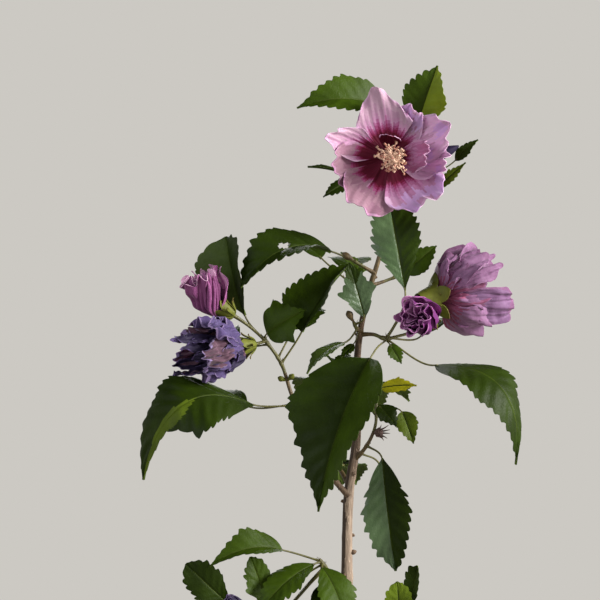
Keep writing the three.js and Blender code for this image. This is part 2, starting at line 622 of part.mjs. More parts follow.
add("top_bloom", openBloom(TOP_BLOOM, TOP_PETALS, 26), MAUVE, 0.6);
add("right_bloom", openBloom(RIGHT_BLOOM, RIGHT_PETALS, 24), MAUVE, 0.6);
add("right_closed_bloom", closedBloom(RIGHT_CLOSED, { length: 22, radius: 13, mouth: 8 }), PLUM, 0.6);
add("pink_faded_bloom", openBloom(PINK_FADED, PINK_PETALS, 12), MAUVE, 0.6);
add("blue_faded_bloom", openBloom(BLUE_FADED, BLUE_PETALS, 14), BLUE, 0.6);
add("low_faded_bloom", closedBloom(LOW_FADED, { length: 14, radius: 5, mouth: 3 }), BLUE, 0.6);

add("pot", potSolid(), CLAY, 0.9);
add("compost", soilSolid(), COMPOST, 1);

export default group;
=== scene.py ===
# %% [markdown]
# # A rose of Sharon in a clay pot
#
# This lesson dresses a young rose of Sharon, Hibiscus syriacus: a slender woody stem, toothed leaves on thin
# shoots, open mauve blooms with a crimson eye, faded blooms, and a plain clay pot. The plain solids of the
# plant are loaded first. They fix its places and sizes, and each is then replaced by a finer piece that
# grows by the same rules.

# %% Start from the plain solids
import json
import math

import bpy
import numpy as np
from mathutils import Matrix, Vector, noise

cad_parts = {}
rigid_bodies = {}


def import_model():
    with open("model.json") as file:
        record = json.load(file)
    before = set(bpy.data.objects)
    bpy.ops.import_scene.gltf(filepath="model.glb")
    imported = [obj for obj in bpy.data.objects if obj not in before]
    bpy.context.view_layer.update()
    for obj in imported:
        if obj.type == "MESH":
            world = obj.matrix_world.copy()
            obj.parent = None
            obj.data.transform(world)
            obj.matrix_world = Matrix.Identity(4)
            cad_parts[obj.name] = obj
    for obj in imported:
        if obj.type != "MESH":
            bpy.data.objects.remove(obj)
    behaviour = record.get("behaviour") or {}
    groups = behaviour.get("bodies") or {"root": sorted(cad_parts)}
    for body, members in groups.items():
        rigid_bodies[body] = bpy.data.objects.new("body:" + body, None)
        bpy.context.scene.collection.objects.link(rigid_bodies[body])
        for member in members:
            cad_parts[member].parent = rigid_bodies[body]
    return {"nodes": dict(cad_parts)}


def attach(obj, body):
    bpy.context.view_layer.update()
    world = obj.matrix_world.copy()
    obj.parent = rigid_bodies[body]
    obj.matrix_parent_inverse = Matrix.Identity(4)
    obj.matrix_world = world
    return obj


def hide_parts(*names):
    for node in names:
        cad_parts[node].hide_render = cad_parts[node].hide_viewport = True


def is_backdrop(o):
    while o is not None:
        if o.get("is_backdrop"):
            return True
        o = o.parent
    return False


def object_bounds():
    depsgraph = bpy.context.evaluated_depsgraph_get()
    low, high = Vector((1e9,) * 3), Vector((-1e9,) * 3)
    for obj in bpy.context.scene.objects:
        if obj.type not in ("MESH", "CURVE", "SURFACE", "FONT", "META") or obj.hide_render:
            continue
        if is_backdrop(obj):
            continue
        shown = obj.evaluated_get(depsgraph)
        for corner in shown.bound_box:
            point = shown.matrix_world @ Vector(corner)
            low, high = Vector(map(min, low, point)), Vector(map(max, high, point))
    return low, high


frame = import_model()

SOLIDS_BOX = [[float(x) for x in corner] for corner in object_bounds()]
MM = 0.001  # all sizes below are in millimetres, and a mesh is made in metres
print("nodes:", len(frame["nodes"]), "box:", SOLIDS_BOX)

# %% [markdown]
# ## The view
#
# The plant is seen level and from some way off, so that it shows little perspective. A lens is worked out
# from two real sizes: how far away the stem is, and how much width the view takes in there.

# %% Set the camera
VIEW_WIDTH = 384 * MM
VIEW_DISTANCE = 1200 * MM
VIEW_ACROSS, VIEW_UP = -32 * MM, 492 * MM  # the point that the view is centred on
SENSOR = 36  # width of the film, in millimetres

camera_data = bpy.data.cameras.new("camera")
camera_data.sensor_width = SENSOR
camera_data.lens = SENSOR * VIEW_DISTANCE / VIEW_WIDTH
camera = bpy.data.objects.new("camera", camera_data)
camera.location = (VIEW_ACROSS, -VIEW_DISTANCE, VIEW_UP)
camera.rotation_euler = (math.radians(90), 0, 0)
bpy.context.collection.objects.link(camera)
bpy.context.scene.camera = camera
print("lens:", round(camera_data.lens, 1), "mm")

# %% [markdown]
# ## Colours
#
# Colours are easiest to name as a paint chart gives them, from 0 to 255. A shader mixes light, which grows
# faster than those numbers do, so each colour is turned into linear light first.


# %% Turn chart colours into light
def chart(red, green, blue):
    """A chart colour as linear light by the standard screen curve, with full opacity."""
    shares = [c / 255 for c in (red, green, blue)]
    return (*(c / 12.92 if c <= 0.04045 else ((c + 0.055) / 1.055) ** 2.4 for c in shares), 1)


print("a middling leaf green as light:", [round(c, 3) for c in chart(50, 68, 8)])

# %% [markdown]
# ## Finishes
#
# A finish is a material with its own grain. It could be an image wrapped round each piece, but then every
# leaf would have to be unwrapped. Patterns that are worked out in space need no unwrapping. Every finish
# starts the same way: a Principled shader and the piece's own coordinates, which stay put on the piece from
# wherever it is seen. Small helpers then add a pattern, mix two tones by it, or turn it into relief.


# %% Start a finish
def start_finish(name, rough, **sockets):
    """A new material with its shader's plain settings. Returns the material, its tree, shader and place."""
    material = bpy.data.materials.new(name)
    material.use_nodes = True
    tree = material.node_tree
    shader = tree.nodes["Principled BSDF"]
    shader.inputs["Roughness"].default_value = rough
    for socket, value in sockets.items():
        shader.inputs[socket.replace("_", " ")].default_value = value
    place = tree.nodes.new("ShaderNodeTexCoord").outputs["Object"]
    return material, tree, shader, place


def stretched(tree, place, across, along):
    """The piece's coordinates, drawn out so that a pattern runs up and down."""
    mapping = tree.nodes.new("ShaderNodeMapping")
    mapping.inputs["Scale"].default_value = (across, across, along)
    tree.links.new(place, mapping.inputs["Vector"])
    return mapping.outputs["Vector"]


def cloud(tree, place, scale, detail=3):
    """A soft noise, from 0 to 1, with that many patches a metre."""
    made = tree.nodes.new("ShaderNodeTexNoise")
    made.inputs["Scale"].default_value = scale
    made.inputs["Detail"].default_value = detail
    tree.links.new(place, made.inputs["Vector"])
    return made.outputs["Fac"]


def cells(tree, place, scale, feature="DISTANCE_TO_EDGE"):
    """A net of cells, 0 on its lines."""
    made = tree.nodes.new("ShaderNodeTexVoronoi")
    made.feature = feature
    made.inputs["Scale"].default_value = scale
    tree.links.new(place, made.inputs["Vector"])
    return made.outputs["Distance"]


# %% Mix tones by a pattern and raise it
def between(tree, value, low, high):
    """Stretches the part of a pattern from low to high over 0 to 1."""
    made = tree.nodes.new("ShaderNodeMapRange")
    made.inputs["From Min"].default_value = low
    made.inputs["From Max"].default_value = high
    tree.links.new(value, made.inputs["Value"])
    return made.outputs["Result"]


def tones(tree, share, first, second):
    """Mixes two colours by a pattern. A colour may itself be a mix."""
    made = tree.nodes.new("ShaderNodeMix")
    made.data_type = "RGBA"
    tree.links.new(share, made.inputs[0])
    for socket, colour in ((made.inputs[6], first), (made.inputs[7], second)):
        if isinstance(colour, tuple):
            socket.default_value = colour
        else:
            tree.links.new(colour, socket)
    return made.outputs[2]


def relief(tree, shader, *layers):
    """Raises each layer (pattern, depth in millimetres) on the one before."""
    before = None
    for height, depth in layers:
        made = tree.nodes.new("ShaderNodeBump")
        made.inputs["Distance"].default_value = depth * MM
        tree.links.new(height, made.inputs["Height"])
        if before:
            tree.links.new(before, made.inputs["Normal"])
        before = made.outputs["Normal"]
    tree.links.new(before, shader.inputs["Normal"])


def darker(colour, share):
    """A colour with its light cut to a share."""
    return (colour[0] * share, colour[1] * share, colour[2] * share, 1)


print("that green with half its light:", [round(c, 3) for c in darker(chart(50, 68, 8), 0.5)])

# %% [markdown]
# ## The studio
#
# A plain studio has a pale wall and floor, a large soft window on one side and weaker ones on the other and
# behind. The wall could be a plane behind the plant, but the plant is seen from all sides, so the wall is the
# world itself. It is pale all round, and dimmer overhead, so that it doesn't wash out the windows. The one on
# the right gives the stem its bright side, and the other two lift the shadows.

# %% Make the wall
WALL = chart(204, 201, 195)
DIM = chart(66, 66, 66)
FADE = (0.18, 0.42)  # the wall fades out between these heights, as shares of straight up

world = bpy.data.worlds.new("pale_room")
world.use_nodes = True
tree = world.node_tree
split = tree.nodes.new("ShaderNodeSeparateXYZ")
tree.links.new(tree.nodes.new("ShaderNodeTexCoord").outputs["Generated"], split.inputs[0])
wall_light = tones(tree, between(tree, split.outputs["Z"], *FADE), WALL, DIM)
tree.links.new(wall_light, tree.nodes["Background"].inputs["Color"])
bpy.context.scene.world = world
print("wall fades out between", FADE, "of straight up")

# %% Light the plant
LAMPS = {
    # name: (place, side of the square, power in watts, colour)
    "window_right": ((1.25, -0.45, 0.95), 0.7, 52, (1.0, 0.98, 0.95)),
    "window_left": ((-1.15, -0.85, 1.2), 0.8, 10, (0.92, 0.96, 1.0)),
    "window_back": ((-0.35, 1.5, 1.0), 0.9, 14, (1.0, 1.0, 1.0)),
}
AIM = Vector((0, 0, 0.45))

for name, (place, side, power, colour) in LAMPS.items():
    lamp_data = bpy.data.lights.new(name, "AREA")
    lamp_data.size = side
    lamp_data.energy = power
    lamp_data.color = colour
    lamp = bpy.data.objects.new(name, lamp_data)
    lamp.location = place
    lamp.rotation_euler = (AIM - Vector(place)).to_track_quat("-Z", "Y").to_euler()
    bpy.context.collection.objects.link(lamp)
bpy.context.scene.view_settings.view_transform = "Standard"
bpy.context.scene.view_settings.look = "None"
print("lamps:", ", ".join(LAMPS))

# %% [markdown]
# ## Leaf green
#
# A leaf's upper side is deep green with a soft wax sheen, a fine net of veins and slight mottling. Its
# underside is paler and duller, and its midrib lighter. Which leaf is deep, middling, light or lime is a
# colour with a place, so each is a finish of its own that is dealt out leaf by leaf. Two finishes are painted
# light: a brighter green for a leaf half that catches the window, and a bluish painted sheen where window
# light reflects off the wax.


# %% Mix the leaf finishes
def leaf_finish(name, colour, rough=0.5, shine=0.1, net=0.05):
    """net is how far the veins stand out, in millimetres."""
    material, tree, shader, place = start_finish(name, rough, Specular_IOR_Level=shine)
    mottle = between(tree, cloud(tree, place, 70), 0.35, 0.7)
    veins = between(tree, cells(tree, place, 420), 0, 0.12)
    tree.links.new(tones(tree, mottle, darker(colour, 0.8), darker(colour, 1.2)), shader.inputs["Base Color"])
    relief(tree, shader, (veins, net), (cloud(tree, place, 260), 0.25))
    return material


FINISHES = {
    "leaf_deep": leaf_finish("leaf_deep", chart(34, 48, 4)),
    "leaf_mid": leaf_finish("leaf_mid", chart(50, 68, 8)),
    "leaf_light": leaf_finish("leaf_light", chart(80, 96, 20)),
    # A brighter green for a leaf half that catches the window: painted light.
    "leaf_bright": leaf_finish("leaf_bright", chart(112, 128, 30)),
    "leaf_lime": leaf_finish("leaf_lime", chart(164, 158, 24)),
    "leaf_grey": leaf_finish("leaf_grey", chart(62, 78, 30)),
    # A bluish painted sheen: window light off the wax put into the colour, with a lower roughness for real
    # gloss too.
    "leaf_sheen": leaf_finish("leaf_sheen", chart(66, 86, 54), rough=0.36, shine=0.4),
    "leaf_under": leaf_finish("leaf_under", chart(76, 92, 36), rough=0.6, net=0.12),
    "leaf_rib": leaf_finish("leaf_rib", chart(58, 72, 18), rough=0.55),
}
print("leaf finishes:", len(FINISHES))

# %% [markdown]
# ## Petal mauve
#
# A petal is thin, so light goes in and comes out again close by: a little subsurface scattering stands for
# that. Fine ribs run over it. The crimson eye, the rosy ring round it, the mauve body and the pale margin
# could be one finish with a gradient. They are separate finishes, which a petal takes face by face, so that
# their borders can run out raggedly along its creases.

# %% Name the petal colours
PETAL_COLOURS = {
    "throat": chart(84, 5, 34),
    "crimson": chart(108, 18, 56),
    "wine": chart(126, 40, 82),
    "magenta": chart(142, 66, 110),
    "rose": chart(156, 94, 134),
    "orchid": chart(168, 114, 152),
    "mauve": chart(174, 128, 160),
    "mauve_deep": chart(166, 118, 153),
    # The lightest mauve is painted light for the brighter petals; the dull and dim mauves are painted shade.
    "mauve_light": chart(178, 145, 165),
    "mauve_soft": chart(170, 132, 157),
    "mauve_dull": chart(146, 110, 126),
    "mauve_dim": chart(138, 98, 118),
    "rosy": chart(128, 72, 102),
    "lilac": chart(185, 149, 194),
    "pale": chart(192, 154, 184),
    "petal_back": chart(150, 106, 142),
    "dusk": chart(130, 92, 126),
    "dusk_deep": chart(120, 80, 114),
    # The darkest dusk is painted shade, for one petal of the right bloom.
    "dusk_dark": chart(112, 80, 114),
    "flush": chart(128, 62, 92),
    "plum": chart(162, 78, 152),
    "plum_dark": chart(98, 38, 96),
    "plum_pale": chart(180, 118, 170),
    "pink": chart(172, 108, 157),
    "pink_dark": chart(126, 66, 112),
    "pink_pale": chart(202, 156, 186),
    "blue": chart(76, 62, 104),
    "blue_dark": chart(38, 30, 56),
    "blue_pale": chart(124, 106, 146),
    "blue_brown": chart(84, 58, 72),
}
print("petal colours:", len(PETAL_COLOURS))


# %% Mix the petal finishes
def petal_finish(name, colour, rough=0.65, vary=0.12):
    """The darkest petals let no light through and have no sheen."""
    dark = colour[1] < 0.02
    material, tree, shader, place = start_finish(
        name,
        rough,
        Subsurface_Weight=0 if dark else 0.2,
        Subsurface_Radius=(1.0, 0.7, 0.9),
        Subsurface_Scale=1.5 * MM,
        Sheen_Weight=0 if dark else 0.1,
        Specular_IOR_Level=0.2,
    )
    veins = cloud(tree, place, 330, 2)
    patches = between(tree, cloud(tree, place, 60), 0.3, 0.7)
    tree.links.new(
        tones(tree, patches, darker(colour, 1 - vary), darker(colour, 1 + vary)), shader.inputs["Base Color"]
    )
    relief(tree, shader, (veins, 0.3))
    return material


for name, colour in PETAL_COLOURS.items():
    FINISHES[name] = petal_finish(name, colour)
print("leaf and petal finishes:", len(FINISHES))

# %% [markdown]
# ## Bark, clay and the small parts
#
# Young bark is smooth and tan with long fine ridges and small pale pores. Green twigs are the same with a
# finer grain. Unglazed clay is matt with throwing lines, darker damp patches and a dusting of lime, and
# compost is nearly black. Anthers are cream, and their pollen tan. A wave pattern could draw the bark's
# grain, but it would repeat, so the grain is noise drawn out along the stem.


# %% Build up bark, clay and plain finishes
def bark_finish(name, colour, light, ridge, rough=0.75):
    material, tree, shader, place = start_finish(name, rough)
    grain = cloud(tree, stretched(tree, place, 900, 130), 1, 4)
    pores = between(tree, cells(tree, stretched(tree, place, 420, 190), 1, "F1"), 0.1, 0.22)
    body = tones(tree, between(tree, grain, 0.35, 0.65), colour, light)
    tree.links.new(tones(tree, pores, darker(light, 1.3), body), shader.inputs["Base Color"])
    relief(tree, shader, (grain, ridge), (pores, -0.15))
    return material


def plain_finish(name, colour, rough, patches, deep, vary=0.2, **sockets):
    material, tree, shader, place = start_finish(name, rough, **sockets)
    mottle = cloud(tree, place, patches)
    tree.links.new(
        tones(tree, between(tree, mottle, 0.3, 0.7), darker(colour, 1 - vary), darker(colour, 1 + vary)),
        shader.inputs["Base Color"],
    )
    relief(tree, shader, (mottle, deep))
    return material


def clay_finish():
    material, tree, shader, place = start_finish("clay", 0.88)
    damp = between(tree, cloud(tree, place, 9, 4), 0.42, 0.62)
    fired = tones(tree, damp, chart(150, 84, 58), chart(186, 112, 80))
    lime = between(tree, cloud(tree, stretched(tree, place, 26, 12), 1, 6), 0.58, 0.84)
    tree.links.new(tones(tree, lime, fired, chart(198, 158, 136)), shader.inputs["Base Color"])
    lines = cloud(tree, stretched(tree, place, 3, 420), 1, 2)
    relief(tree, shader, (lines, 0.5), (cloud(tree, place, 700), 0.25))
    return material


# %% Mix the other finishes
FINISHES.update(
    {
        "bark_old": bark_finish("bark_old", chart(122, 104, 88), chart(160, 140, 122), 0.35),
        "bark_mid": bark_finish("bark_mid", chart(98, 80, 66), chart(134, 112, 94), 0.35),
        # painted shade for the stem's left side, away from the window on the right
        "bark_dark": bark_finish("bark_dark", chart(54, 40, 30), chart(78, 60, 46), 0.35),
        "bark_young": bark_finish("bark_young", chart(84, 64, 50), chart(116, 94, 72), 0.3),
        "twig_brown": bark_finish("twig_brown", chart(74, 58, 34), chart(102, 84, 50), 0.2, 0.6),
        "twig_green": bark_finish("twig_green", chart(74, 72, 32), chart(100, 96, 46), 0.2, 0.5),
        "calyx": plain_finish("calyx", chart(96, 100, 32), 0.6, 240, 0.3, Specular_IOR_Level=0.25),
        "calyx_tip": plain_finish("calyx_tip", chart(90, 78, 34), 0.65, 240, 0.3, Specular_IOR_Level=0.25),
        "husk": plain_finish("husk", chart(96, 74, 70), 0.8, 300, 0.5, 0.4),
        "anther": plain_finish("anther", chart(208, 172, 148), 0.8, 900, 0.2, 0.2),
        "pollen": plain_finish("pollen", chart(172, 118, 100), 0.85, 900, 0.2, 0.2),
        "clay": clay_finish(),
        "compost": plain_finish("compost", chart(58, 42, 30), 0.95, 260, 1.2, 0.45),
        "crumb": plain_finish("crumb", chart(82, 58, 40), 0.95, 500, 0.6, 0.4),
        "grit": plain_finish("grit", chart(206, 202, 190), 0.8, 500, 0.4, 0.1),
    }
)
print("finishes:", len(FINISHES))


# %% [markdown]
# ## Small tools for shapes
#
# The pot below is modelled as by hand, from a disc. Leaves and petals are curved all over and come by the
# dozen, so the plant is worked out as arrays of points instead. It takes only two kinds of skin: a tube for
# limbs, and a thin sheet for leaves and petals. Points are in millimetres. A Skin gathers many of them, with
# a finish for each face, and becomes one piece.

# %% Gather skins into a piece
GOLDEN = 137.5  # degrees from one leaf, petal or anther to the next, as plants set them
print("leaves to the full turn:", round(360 / GOLDEN, 2))


def vec(point):
    return np.array(point, float)


def unit(v):
    return v / np.maximum(np.linalg.norm(v, axis=-1, keepdims=True), 1e-9)


class Skin:
    def __init__(self):
        self.corners, self.faces, self.finishes, self.count = [], [], [], 0

    def add(self, corners, faces, finishes):
        """faces is an array of corner numbers, and finishes one name or one for each face."""
        self.corners.append(corners.reshape(-1, 3))
        self.faces.extend((faces + self.count).tolist())
        self.finishes.extend([finishes] * len(faces) if isinstance(finishes, str) else list(finishes))
        self.count += len(self.corners[-1])


def make_piece(name, skin, slot, *nodes, sharp=60):
    """A Blender object from a skin. It rides on the plant and stands for the plain solids named last."""
    mesh = bpy.data.meshes.new(name)
    mesh.from_pydata((np.vstack(skin.corners) * MM).tolist(), [], skin.faces)
    names = sorted(set(skin.finishes))
    for finish in names:
        mesh.materials.append(FINISHES[finish])
    place = {finish: i for i, finish in enumerate(names)}
    mesh.polygons.foreach_set("material_index", [place[finish] for finish in skin.finishes])
    mesh.polygons.foreach_set("use_smooth", [True] * len(mesh.polygons))
    mesh.set_sharp_from_angle(angle=math.radians(sharp))
    mesh.update()
    piece = bpy.data.objects.new(name, mesh)
    bpy.context.collection.objects.link(piece)
    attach(piece, "root")
    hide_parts(*nodes)
    return piece


# %% [markdown]
# ## Chance
#
# Nature varies, but a lesson has to come out the same each time. This small generator gives the same stream
# of numbers for the same seed, and it is the one that the plain solids were grown by.


# %% Draw numbers by a seed
def chance(seed):
    """Returns a function that gives the next number, spread evenly either side of 0."""
    state = [seed * 7919 + 17]

    def jitter(spread=1.0):
        state[0] = state[0] * 16807 % 2147483647
        return spread * (state[0] / 2147483647 - 0.5)

    return jitter


draw = chance(1)
print("first draws of seed 1:", [round(draw(), 3) for _ in range(3)])

# %% [markdown]
# ## Paths
#
# A stem runs smoothly through a few named points, and a stalk bends along a curve with handles. Curve objects
# could do both. Here they become closely spaced points instead, on which any share of the way can be looked
# up, because leaves and buds have to know where on a stem they spring.


# %% Lay out paths
class Path:
    def __init__(self, points):
        self.points = points
        steps = np.linalg.norm(np.diff(points, axis=0), axis=1)
        self.length = steps.sum()
        self.share = np.concatenate([[0], np.cumsum(steps)]) / self.length

    def at(self, share):
        return np.stack([np.interp(share, self.share, self.points[:, k]) for k in range(3)], -1)


def smooth(route, steps=40):
    """A path through the route's points that bends evenly whatever their spacing."""
    inner = [vec(p) for p in route]
    points = [2 * inner[0] - inner[1], *inner, 2 * inner[-1] - inner[-2]]
    t = np.linspace(0, 1, steps, endpoint=False)[:, None]
    path = []
    for p0, p1, p2, p3 in zip(points, points[1:], points[2:], points[3:]):
        d0, d1, d2 = (np.linalg.norm(b - a) ** 0.5 for a, b in ((p0, p1), (p1, p2), (p2, p3)))
        m1 = ((p1 - p0) / d0 - (p2 - p0) / (d0 + d1) + (p2 - p1) / d1) * d1
        m2 = ((p2 - p1) / d1 - (p3 - p1) / (d1 + d2) + (p3 - p2) / d2) * d1
        path.append(
            p1 + m1 * t + (-3 * p1 + 3 * p2 - 2 * m1 - m2) * t**2 + (2 * p1 - 2 * p2 + m1 + m2) * t**3
        )
    return Path(np.vstack([*path, points[-2][None]]))


def handled(a, b, c, d, steps=24):
    """A path from a to d that leaves a towards b and comes to d from c."""
    t = np.linspace(0, 1, steps + 1)[:, None]
    return Path(a * (1 - t) ** 3 + 3 * b * t * (1 - t) ** 2 + 3 * c * t**2 * (1 - t) + d * t**3)


straight = smooth([(0, 0, 0), (0, 0, 10)])
print("a straight path:", round(straight.length, 1), "mm, in", len(straight.points) - 1, "steps")

# %% [markdown]
# ## Tubes
#
# A tube is a ring of points carried along a path. A curve with a bevel would give one at once, but a plain
# round one. Here the radius may change along the way and also round it, which gives bark its ridges. The ring
# keeps its turn from step to step, so the tube doesn't twist.


# %% Make a tube
def tube(skin, path, radius, sides, steps, finish, bark=None):
    """radius takes the way along, from 0 to 1, and finish also a face's place round. bark is relief."""
    share = np.linspace(0, 1, steps + 1)
    middle = path.at(share)
    heading = unit(np.gradient(middle, axis=0))
    spare = vec((1, 0, 0)) if abs(heading[0][0]) < 0.8 else vec((0, 1, 0))
    across = [unit(np.cross(heading[0], spare))]
    for way in heading[1:]:
        across.append(unit(across[-1] - way * across[-1].dot(way)))
    across = np.array(across)
    over = np.cross(heading, across)
    turn = 2 * np.pi * np.arange(sides) / sides
    r = np.array([radius(t) for t in share])[:, None] * np.ones(sides)
    if bark:
        r = r + bark(middle, turn)
    rings = middle[:, None] + r[..., None] * (
        np.cos(turn)[None, :, None] * across[:, None] + np.sin(turn)[None, :, None] * over[:, None]
    )
    number = np.arange((steps + 1) * sides).reshape(-1, sides)
    beside = np.roll(number, -1, 1)
    quads = np.stack([number[:-1], beside[:-1], beside[1:], number[1:]], -1).reshape(-1, 4)
    of_face = [finish(t, k) for t in share[:-1] for k in range(sides)] if callable(finish) else finish
    skin.add(rings, quads, of_face)
    lid = number + skin.count - number.size
    skin.faces.extend([lid[0][::-1].tolist(), lid[-1].tolist()])
    skin.finishes.extend([of_face] * 2 if isinstance(of_face, str) else [of_face[0], of_face[-1]])


def taper(start, end):
    return lambda t: start + (end - start) * t


trial = Skin()
tube(trial, straight, taper(1, 0.5), 8, 4, "bark_young")
print("faces of a tube of 8 sides and 4 steps:", len(trial.faces))

# %% [markdown]
# ## Thin sheets
#
# A leaf or petal is a grid of points. The sheet closes it into a thin skin: the grid itself is the upper
# side, the same grid pushed back a little is the lower side, and a rim joins them wherever a cell has no
# neighbour. That also closes the edge of a hole that an insect has left. The Solidify modifier does much the
# same, but here the rib can be thicker than the blade, and each side has finishes of its own.


# %% Close a grid into a thin skin
def sheet(skin, grid, thick, upper, under, keep=None):
    """upper and under are finishes, or one for each cell of the grid. keep says which cells are there."""
    rows, columns = grid.shape[:2]
    facing = unit(np.cross(np.gradient(grid, axis=1), np.gradient(grid, axis=0)))
    back = grid - facing * (np.ones((rows, columns)) * thick)[..., None]
    size = rows * columns
    number = np.arange(size).reshape(rows, columns)
    cell = np.stack([number[:-1, :-1], number[:-1, 1:], number[1:, 1:], number[1:, :-1]], -1).reshape(-1, 4)
    upper, under = (
        np.full(len(cell), side, dtype=object) if isinstance(side, str) else np.asarray(side).ravel()
        for side in (upper, under)
    )
    if keep is not None:
        cell, upper, under = cell[keep.ravel()], upper[keep.ravel()], under[keep.ravel()]
    start, stop = cell, np.roll(cell, -1, 1)
    edge = ~np.isin(start * size + stop, stop * size + start)
    rim = np.stack([stop[edge], start[edge], start[edge] + size, stop[edge] + size], -1)
    rim_finish = np.repeat(upper[:, None], 4, 1)[edge]
    faces = np.vstack([cell, cell[:, ::-1] + size, rim])
    finishes = [*upper, *under, *rim_finish]
    skin.add(np.stack([grid, back]), faces, finishes)


def swell(t, widest, power):
    """The rise and fall of a half width: 1 where it is widest, 0 at both ends."""
    return (t / widest) ** (widest * power) * ((1 - t) / (1 - widest)) ** ((1 - widest) * power)


def arch(base, bend, tip, t):
    """Points of a bowed rib, and the way it runs at each."""
    t = t[:, None]
    rib = base * (1 - t) ** 2 + 2 * bend * t * (1 - t) + tip * t**2
    return rib, unit((bend - base) * (1 - t) + (tip - bend) * t)


trial = Skin()
flat = np.stack([*np.meshgrid(range(4), range(4)), np.zeros((4, 4))], -1)
sheet(trial, flat, 0.3, "leaf_mid", "leaf_under")
print("faces of a sheet of 3 by 3 cells:", len(trial.faces))

# %% [markdown]
# ## Leaves
#
# The leaf of a rose of Sharon has a smooth wedge-shaped foot and coarse blunt teeth above it, and many have a
# lobe on either side. Evenly spaced rows would cut across the teeth. Here the rows of the grid are set by the
# teeth instead, so that each tooth has a clear tip and notch. Between side veins the blade bulges a little,
# the margin waves, and the midrib is a groove above and a ridge below.
#
# A leaf may say more of itself. Its halves may differ in tone, because they catch the light differently, and
# a streak of another tone may run up it. It may be folded along its rib, be widest higher up, have lobes or
# holes, or be slim: one half then narrows towards the tip.

# %% Size the leaf's details
TOOTH_STEPS = (0, 0.16, 0.4, 0.62, 0.8, 0.92)  # where the rows stand within one tooth
TOOTH_TIP = 0.66  # how far along a tooth its tip is
TOOTH_DEEP = 2.3  # from notch to tip, on a leaf of 60 mm
TOOTHED_FROM, TOOTHED_TO = 0.2, 0.97  # shares of the leaf at its first and last tooth
RIB = 0.42  # half width of the midrib
RIB_GROOVE = 0.35  # how deep the midrib lies
RIB_RIDGE = (0.9, 0.5)  # its thickness at the leaf's tip, and how much more at the foot
BLADE_THICK = 0.42
BULGE = 0.0055  # between side veins, as a share of the leaf's length
WAVE = 0.1  # of the margin, as a share of the half width
LEAF_POWER = 1.9  # how full the outline is
LOBE_AT, LOBE_SPREAD = 0.46, 0.09
SLIM_FROM, SLIM_OVER = 0.56, 0.14  # where a slim leaf starts to narrow, and over what share


def tooth_rise(phase):
    """0 in a notch and 1 at a tooth's blunt tip, which leans forwards."""
    phase = phase % 1
    rising = np.sin(np.pi / 2 * np.minimum(phase / TOOTH_TIP, 1)) ** 0.9
    falling = np.cos(np.pi / 2 * np.clip((phase - TOOTH_TIP) / (1 - TOOTH_TIP), 0, 1)) ** 0.8
    return rising * falling


# %% Work out a leaf's outline
def leaf_rows(length):
    """The rows along a leaf, how far each is through its tooth, and how many teeth a side has."""
    teeth = int(np.clip(round(3 + length / 9.5), 4, 14))
    pitch = (TOOTHED_TO - TOOTHED_FROM) / teeth
    foot = np.linspace(0, TOOTHED_FROM, 7)[:-1]
    toothed = TOOTHED_FROM + pitch * (np.arange(teeth)[:, None] + TOOTH_STEPS)
    t = np.concatenate([foot, toothed.ravel(), [TOOTHED_TO, 1]])
    return t, (t - TOOTHED_FROM) / pitch, teeth


def leaf_side(half, phase, teeth, length, count, jitter):
    """How far each point of one half stands off the rib, and how far its margin leans to the tip."""
    size = np.array([1 + jitter(1.0) for _ in range(teeth + 2)])
    tooth = tooth_rise(phase) * size[np.clip(np.floor(phase).astype(int), 0, teeth + 1)]
    deep = TOOTH_DEEP * np.clip(length / 60, 0.4, 1.15) * np.clip(phase, 0, 1)
    deep = np.minimum(deep, 0.34 * half)
    inner = np.minimum(RIB, 0.3 * half)[:, None]
    offset = inner + (half[:, None] - inner) * np.linspace(0, 1, count + 1)
    offset[:, -1] = half + deep * (tooth - 0.5)
    lean = np.zeros_like(offset)
    lean[:, -1] = 0.7 * deep * tooth
    lean[-2:] = 0
    return offset, lean


print("teeth on each side of a leaf of 60 mm:", leaf_rows(60)[2])

